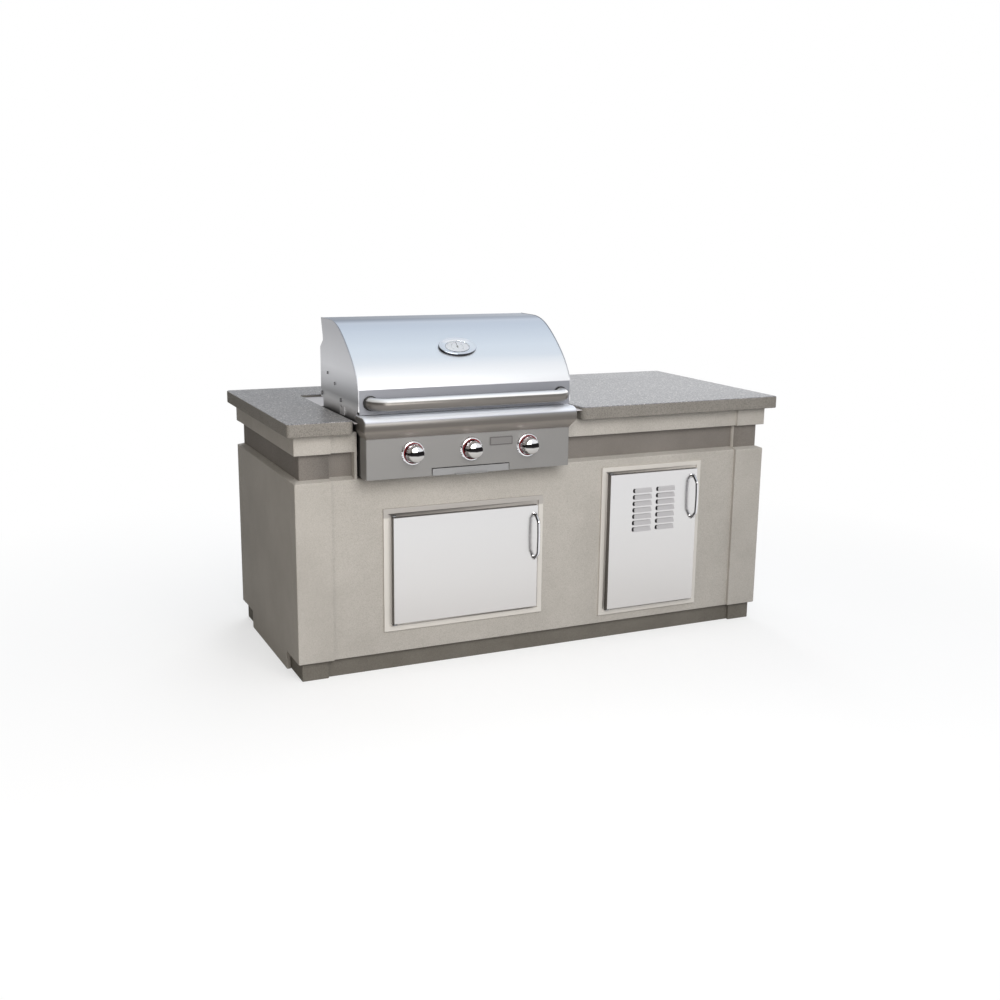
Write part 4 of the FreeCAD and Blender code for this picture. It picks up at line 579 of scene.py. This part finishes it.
rosette = {
    "profile": [(9.5, 0.0), (9.5, 1.6), (9.1, 2.6), (8.0, 3.4), (6.4, 3.8)],  # mm
    "spacing": 0.162,
}
for side, door in doors.items():
    pullLow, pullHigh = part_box(side + "_door_handle")
    panLow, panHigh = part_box(side + "_door")
    levels = [(radius, radius, level) for radius, level in rosette["profile"]]
    for number, way in enumerate((-1, 1), 1):
        place = (panHigh[0] - door["pullInset"], panLow[1] + door["proud"],
                 (pullLow[2] + pullHigh[2]) / 2 + way * rosette["spacing"] / 2)
        drawnUp("%sRosette%d" % (side, number), levels, Matrix.Translation(place) @ facingOut, domeChromePaintedReflection,
                bodyOf[side + "_door_handle"], solid=True, corners=48)
print("rosettes made")


# the bare badge has a thin raised rim

badgeRim = {"margin": 0.0015, "width": 0.0024, "height": 0.0005, "sunk": 0.0001}
rimLow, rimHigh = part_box("badge_plate")
bpy.ops.object.select_all(action="DESELECT")
bpy.ops.mesh.primitive_plane_add(size=1, location=(0, 0, 0))
rim = bpy.context.object
bpy.ops.object.mode_set(mode="EDIT")
bpy.ops.mesh.select_all(action="SELECT")
bpy.ops.transform.resize(value=(rimHigh[0] - rimLow[0] - 2 * badgeRim["margin"],
                                rimHigh[2] - rimLow[2] - 2 * badgeRim["margin"], 1))
bpy.ops.mesh.inset(thickness=badgeRim["width"])
bpy.ops.mesh.delete(type="FACE")
bpy.ops.mesh.select_all(action="SELECT")
bpy.ops.mesh.extrude_region_move(TRANSFORM_OT_translate={"value": (0, 0, badgeRim["height"])})
bpy.ops.mesh.select_all(action="SELECT")
bpy.ops.mesh.normals_make_consistent(inside=False)
bpy.ops.object.mode_set(mode="OBJECT")
place = ((rimLow[0] + rimHigh[0]) / 2, rimLow[1] + badgeRim["sunk"], (rimLow[2] + rimHigh[2]) / 2)
settle(rim, "badgeRim", Matrix.Translation(place) @ facingOut, rimGrey, "island")


# a dark red enamelled ring lies round each knob, inside its bezel

knobRing = {
    "spots": [(-0.556, -0.437, 0.799), (-0.34, -0.437, 0.799), (-0.124, -0.437, 0.799)],
    "profile": [(33.6, 0.0), (35.4, 4.0), (35.3, 7.4), (34.4, 8.8), (33.3, 8.6), (32.5, 7.4),
                (32.3, 0.0)],  # mm
}
for number, place in enumerate(knobRing["spots"], 1):
    levels = [(radius, radius, level) for radius, level in knobRing["profile"]]
    drawnUp("knobRing%d" % number, levels, Matrix.Translation(place) @ facingOut, ringEnamel,
            "island")
print("knob rings made")


# thermometer: a dished oval bezel, and a pale dial under glass, with a scale of plain strokes

gauge = {
    "centre": Vector((-0.34, -0.306028, 1.137020)),
    "tilt": math.radians(38.8),
    "bezel": [(43.2, 24.6, 0.4), (71, 42.0, 0.4), (71, 42.0, 4.8), (70.6, 41.6, 6.0), (69.6, 40.8, 6.9),
              (68.0, 39.5, 7.4), (66.2, 38.0, 7.3), (64.4, 36.7, 6.8), (60.5, 34.4, 5.9), (55.5, 31.4, 5.0),
              (50.5, 28.6, 4.4), (46.6, 26.6, 4.0), (45.2, 25.9, 3.8), (44.4, 25.4, 3.4),
              (43.2, 24.6, 3.3)],  # mm
    "dial": [(42.7, 26.7, 2.0), (42.7, 26.7, 2.4)],  # mm
    "dialTop": 0.0024,
    "strokes": 21,
    "longEvery": 5,
    "reach": 0.0228,  # from the middle to the strokes' outer ends
    "sweep": math.radians(120),  # to either side of straight up
    "longStroke": (0.0009, 0.0042),
    "shortStroke": (0.0005, 0.0024),
    "inkHeight": 0.0002,
}
gaugeSpot = Matrix.Translation(gauge["centre"]) @ Matrix.Rotation(gauge["tilt"], 4, "X")
bezel = drawnUp("gaugeBezel", gauge["bezel"], gaugeSpot, gaugeChromePaintedReflection, "hood")
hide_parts("thermometer_bezel")
dialFace = drawnUp("gaugeFace", gauge["dial"], gaugeSpot, dialWhite, "hood", solid=True)
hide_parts("thermometer_dial")

strokes = []
for step in range(gauge["strokes"]):
    angle = -gauge["sweep"] + 2 * gauge["sweep"] * step / (gauge["strokes"] - 1)
    width, length = gauge["shortStroke"] if step % gauge["longEvery"] else gauge["longStroke"]
    middle = Vector((math.sin(angle), math.cos(angle), 0)) * (gauge["reach"] - length / 2)
    bpy.ops.mesh.primitive_cube_add(
        size=1, location=(middle.x, middle.y, gauge["dialTop"] + gauge["inkHeight"] / 2))
    stroke = bpy.context.object
    stroke.scale = (width, length, gauge["inkHeight"])
    stroke.rotation_euler = (0, 0, -angle)
    strokes.append(stroke)
scale = joined(strokes)
bpy.ops.object.transform_apply(location=True, rotation=True, scale=True)
settle(scale, "gaugeStrokes", gaugeSpot, dialInk, "hood")
print("gauge made")


# pale floor: camera, metal and glass see it pale with its shadow, and it throws less light back than paper

floorLook = {
    "size": 200,
    "lit": "#989898",  # what it throws back on the piece
    "seen": "#F7F7F7",
    "fade": (1.1, 2.8),  # metres from the middle, over which it turns to plain white
    "glow": (0.6, 1.0),
}
bpy.ops.mesh.primitive_plane_add(size=floorLook["size"], location=(0, 0, 0))
floor = bpy.context.object
floor.name = "floor"
floorPaint = bpy.data.materials.new("floorPaint")
floorPaint.use_nodes = True
tree = floorPaint.node_tree
tree.nodes.clear()
rays = addNode(tree, "ShaderNodeLightPath")
cameraOrGloss = addNode(tree, "ShaderNodeMath", {"operation": "MAXIMUM"},
                        {0: rays.outputs["Is Camera Ray"], 1: rays.outputs["Is Glossy Ray"]})
seen = addNode(tree, "ShaderNodeMath", {"operation": "MAXIMUM"},
               {0: cameraOrGloss.outputs[0], 1: rays.outputs["Is Transmission Ray"]})
tone = addNode(tree, "ShaderNodeMix",
               {"data_type": "RGBA", 6: linear(floorLook["lit"]), 7: linear(floorLook["seen"])},
               {0: seen.outputs[0]})
matt = addNode(tree, "ShaderNodeBsdfDiffuse", None, {"Color": tone.outputs[2]})
glow = addNode(tree, "ShaderNodeEmission", {"Color": (1, 1, 1, 1), "Strength": 1.0})
spot = addNode(tree, "ShaderNodeTexCoord").outputs["Object"]
distance = addNode(tree, "ShaderNodeVectorMath", {"operation": "LENGTH"}, {0: spot})
paper = addNode(tree, "ShaderNodeMapRange",
                {"From Min": floorLook["fade"][0], "From Max": floorLook["fade"][1],
                 "To Min": floorLook["glow"][0], "To Max": floorLook["glow"][1]},
                {"Value": distance.outputs["Value"]})
share = addNode(tree, "ShaderNodeMath", {"operation": "MULTIPLY"}, {0: seen.outputs[0], 1: paper.outputs[0]})
blend = addNode(tree, "ShaderNodeMixShader", None,
                {0: share.outputs[0], 1: matt.outputs[0], 2: glow.outputs[0]})
addNode(tree, "ShaderNodeOutputMaterial", None, {"Surface": blend.outputs[0]})
floor.data.materials.append(floorPaint)


# soft studio sky: bright ahead and overhead, duller on the left, with a thin dark strip that chrome picks up

sky = {
    "ahead": [(0.0, "#FFFFFF"), (0.04, "#F4F4F4"), (0.07, "#4A4A4A"), (0.14, "#4A4A4A"), (0.19, "#FFFFFF"),
              (0.45, "#F4F5F7"), (0.7, "#D8E0EA"), (1.0, "#DDE6EF")],  # over the height
    "behind": [(0.0, "#FFFFFF"), (0.3, "#F6F7FA"), (0.55, "#D2D9E3"), (0.74, "#CFD8E4"), (1.0, "#DDE6EF")],
    "turn": (-0.25, 0.1),  # ahead of the piece passes into behind it over these depths
    "sheen": [(0.0, 0.92), (0.55, 0.92), (0.58, 0.4), (0.63, 0.4), (0.75, 0.92), (1.0, 0.92)],
    "sheenLevel": 1.35,  # the sheen runs from left to right
    "sheenFade": (0.3, 0.5),  # heights over which the sheen ends
    "leftTint": ("#888278", "#FFFFFF"),
    "leftSpan": (-0.45, 0.1),
    "panelAim": Vector((0.43, -0.5, 0.75)).normalized(),
    "panelSpan": (0.88, 0.985),
    "panelLevel": 0.98,
}
world = bpy.data.worlds.new("sky")
bpy.context.scene.world = world
world.use_nodes = True
tree = world.node_tree
tree.nodes.clear()
direction = addNode(tree, "ShaderNodeTexCoord").outputs["Generated"]
parts = addNode(tree, "ShaderNodeSeparateXYZ", None, {0: direction})
aheadTone = addNode(tree, "ShaderNodeValToRGB", None, {"Fac": parts.outputs["Z"]}, sky["ahead"])
behindTone = addNode(tree, "ShaderNodeValToRGB", None, {"Fac": parts.outputs["Z"]}, sky["behind"])
aside = addNode(tree, "ShaderNodeMapRange",
                {"From Min": -1.0, "From Max": 1.0}, {"Value": parts.outputs["X"]})
sheen = addNode(tree, "ShaderNodeValToRGB", None, {"Fac": aside.outputs[0]}, sky["sheen"])
gleam = addNode(tree, "ShaderNodeMath",
                {"operation": "MULTIPLY", 1: sky["sheenLevel"]}, {0: sheen.outputs[0]})
lift = addNode(tree, "ShaderNodeMapRange", {"From Min": sky["sheenFade"][0], "From Max": sky["sheenFade"][1]},
               {"Value": parts.outputs["Z"]})
lowShare = addNode(tree, "ShaderNodeMix", {3: 1.0}, {0: lift.outputs[0], 2: gleam.outputs[0]})
behindLit = addNode(tree, "ShaderNodeVectorMath", {"operation": "SCALE"},
                    {0: behindTone.outputs[0], "Scale": lowShare.outputs[0]})
turn = addNode(tree, "ShaderNodeMapRange", {"From Min": sky["turn"][0], "From Max": sky["turn"][1]},
               {"Value": parts.outputs["Y"]})
dome = addNode(tree, "ShaderNodeMix", {"data_type": "RGBA"},
               {0: turn.outputs[0], 6: aheadTone.outputs[0], 7: behindLit.outputs[0]})
sideways = addNode(tree, "ShaderNodeMapRange",
                   {"From Min": sky["leftSpan"][0], "From Max": sky["leftSpan"][1]},
                   {"Value": parts.outputs["X"]})
leftTone = addNode(tree, "ShaderNodeValToRGB", None,
                   {"Fac": sideways.outputs[0]}, list(zip((0.0, 1.0), sky["leftTint"])))
dimmed = addNode(tree, "ShaderNodeMix", {"data_type": "RGBA", "blend_type": "MULTIPLY", 0: 1.0},
                 {6: dome.outputs[2], 7: leftTone.outputs[0]})
nearness = addNode(tree, "ShaderNodeVectorMath",
                   {"operation": "DOT_PRODUCT", 1: sky["panelAim"]}, {0: direction})
panelShare = addNode(tree, "ShaderNodeMapRange",
                     {"interpolation_type": "SMOOTHSTEP",
                      "From Min": sky["panelSpan"][0], "From Max": sky["panelSpan"][1]},
                     {"Value": nearness.outputs["Value"]})
panelTone = (sky["panelLevel"], sky["panelLevel"], sky["panelLevel"], 1)
lit = addNode(tree, "ShaderNodeMix", {"data_type": "RGBA", 7: panelTone},
              {0: panelShare.outputs[0], 6: dimmed.outputs[2]})
skyLight = addNode(tree, "ShaderNodeBackground", {"Strength": 1.0}, {"Color": lit.outputs[2]})
white = addNode(tree, "ShaderNodeBackground", {"Color": (1, 1, 1, 1), "Strength": 1.0})
rays = addNode(tree, "ShaderNodeLightPath")
either = addNode(tree, "ShaderNodeMixShader", None,
                 {0: rays.outputs["Is Camera Ray"], 1: skyLight.outputs[0], 2: white.outputs[0]})
addNode(tree, "ShaderNodeOutputWorld", None, {"Surface": either.outputs[0]})

lamps = {
    "softBox": {"place": Vector((-0.5, -2.9, 1.9)), "target": Vector((-0.25, -0.4, 0.7)),
                "size": 1.8, "power": 64, "colour": "#FFFCF8", "mirrored": True},
    "backBox": {"place": Vector((0.9, 3.4, 2.3)), "target": Vector((0, 0.44, 0.5)),
                "size": 2.0, "power": 72, "colour": "#FFFFFF", "mirrored": False},
    "sideBox": {"place": Vector((-2.5, -1.9, 1.1)), "target": Vector((-0.98, -0.2, 0.5)),
                "size": 1.0, "power": 9, "colour": "#FFF4E8", "mirrored": False},
}
for name, lamp in lamps.items():
    light = bpy.data.lights.new(name, "AREA")
    light.size = lamp["size"]
    light.energy = lamp["power"]
    light.color = linear(lamp["colour"])[:3]
    holder = bpy.data.objects.new(name, light)
    holder.location = lamp["place"]
    holder.rotation_euler = (lamp["target"] - lamp["place"]).to_track_quat("-Z", "Y").to_euler()
    holder.visible_glossy = lamp["mirrored"]
    bpy.context.scene.collection.objects.link(holder)
print("light set")

view = {
    "place": (-2.00735, -4.2627, 1.5686),
    "yaw": math.radians(24.93),
    "pitch": math.radians(12.83),
    "roll": math.radians(0.69),
    "lens": 44.10,
    "sensor": 36.0,
}
ahead = Vector((math.sin(view["yaw"]) * math.cos(view["pitch"]),
                math.cos(view["yaw"]) * math.cos(view["pitch"]), -math.sin(view["pitch"])))
across = Vector((math.cos(view["yaw"]), -math.sin(view["yaw"]), 0))
upward = across.cross(ahead)
turnedAcross = across * math.cos(view["roll"]) + upward * math.sin(view["roll"])
turnedUp = upward * math.cos(view["roll"]) - across * math.sin(view["roll"])
aim = Matrix((turnedAcross, turnedUp, -ahead)).transposed().to_4x4()
lensBody = bpy.data.cameras.new("photoCamera")
lensBody.lens = view["lens"]
lensBody.sensor_width = view["sensor"]
camera = bpy.data.objects.new("photoCamera", lensBody)
camera.matrix_world = Matrix.Translation(view["place"]) @ aim
bpy.context.scene.collection.objects.link(camera)
bpy.context.scene.camera = camera
bpy.context.scene.view_settings.view_transform = "Standard"
print("stage set")
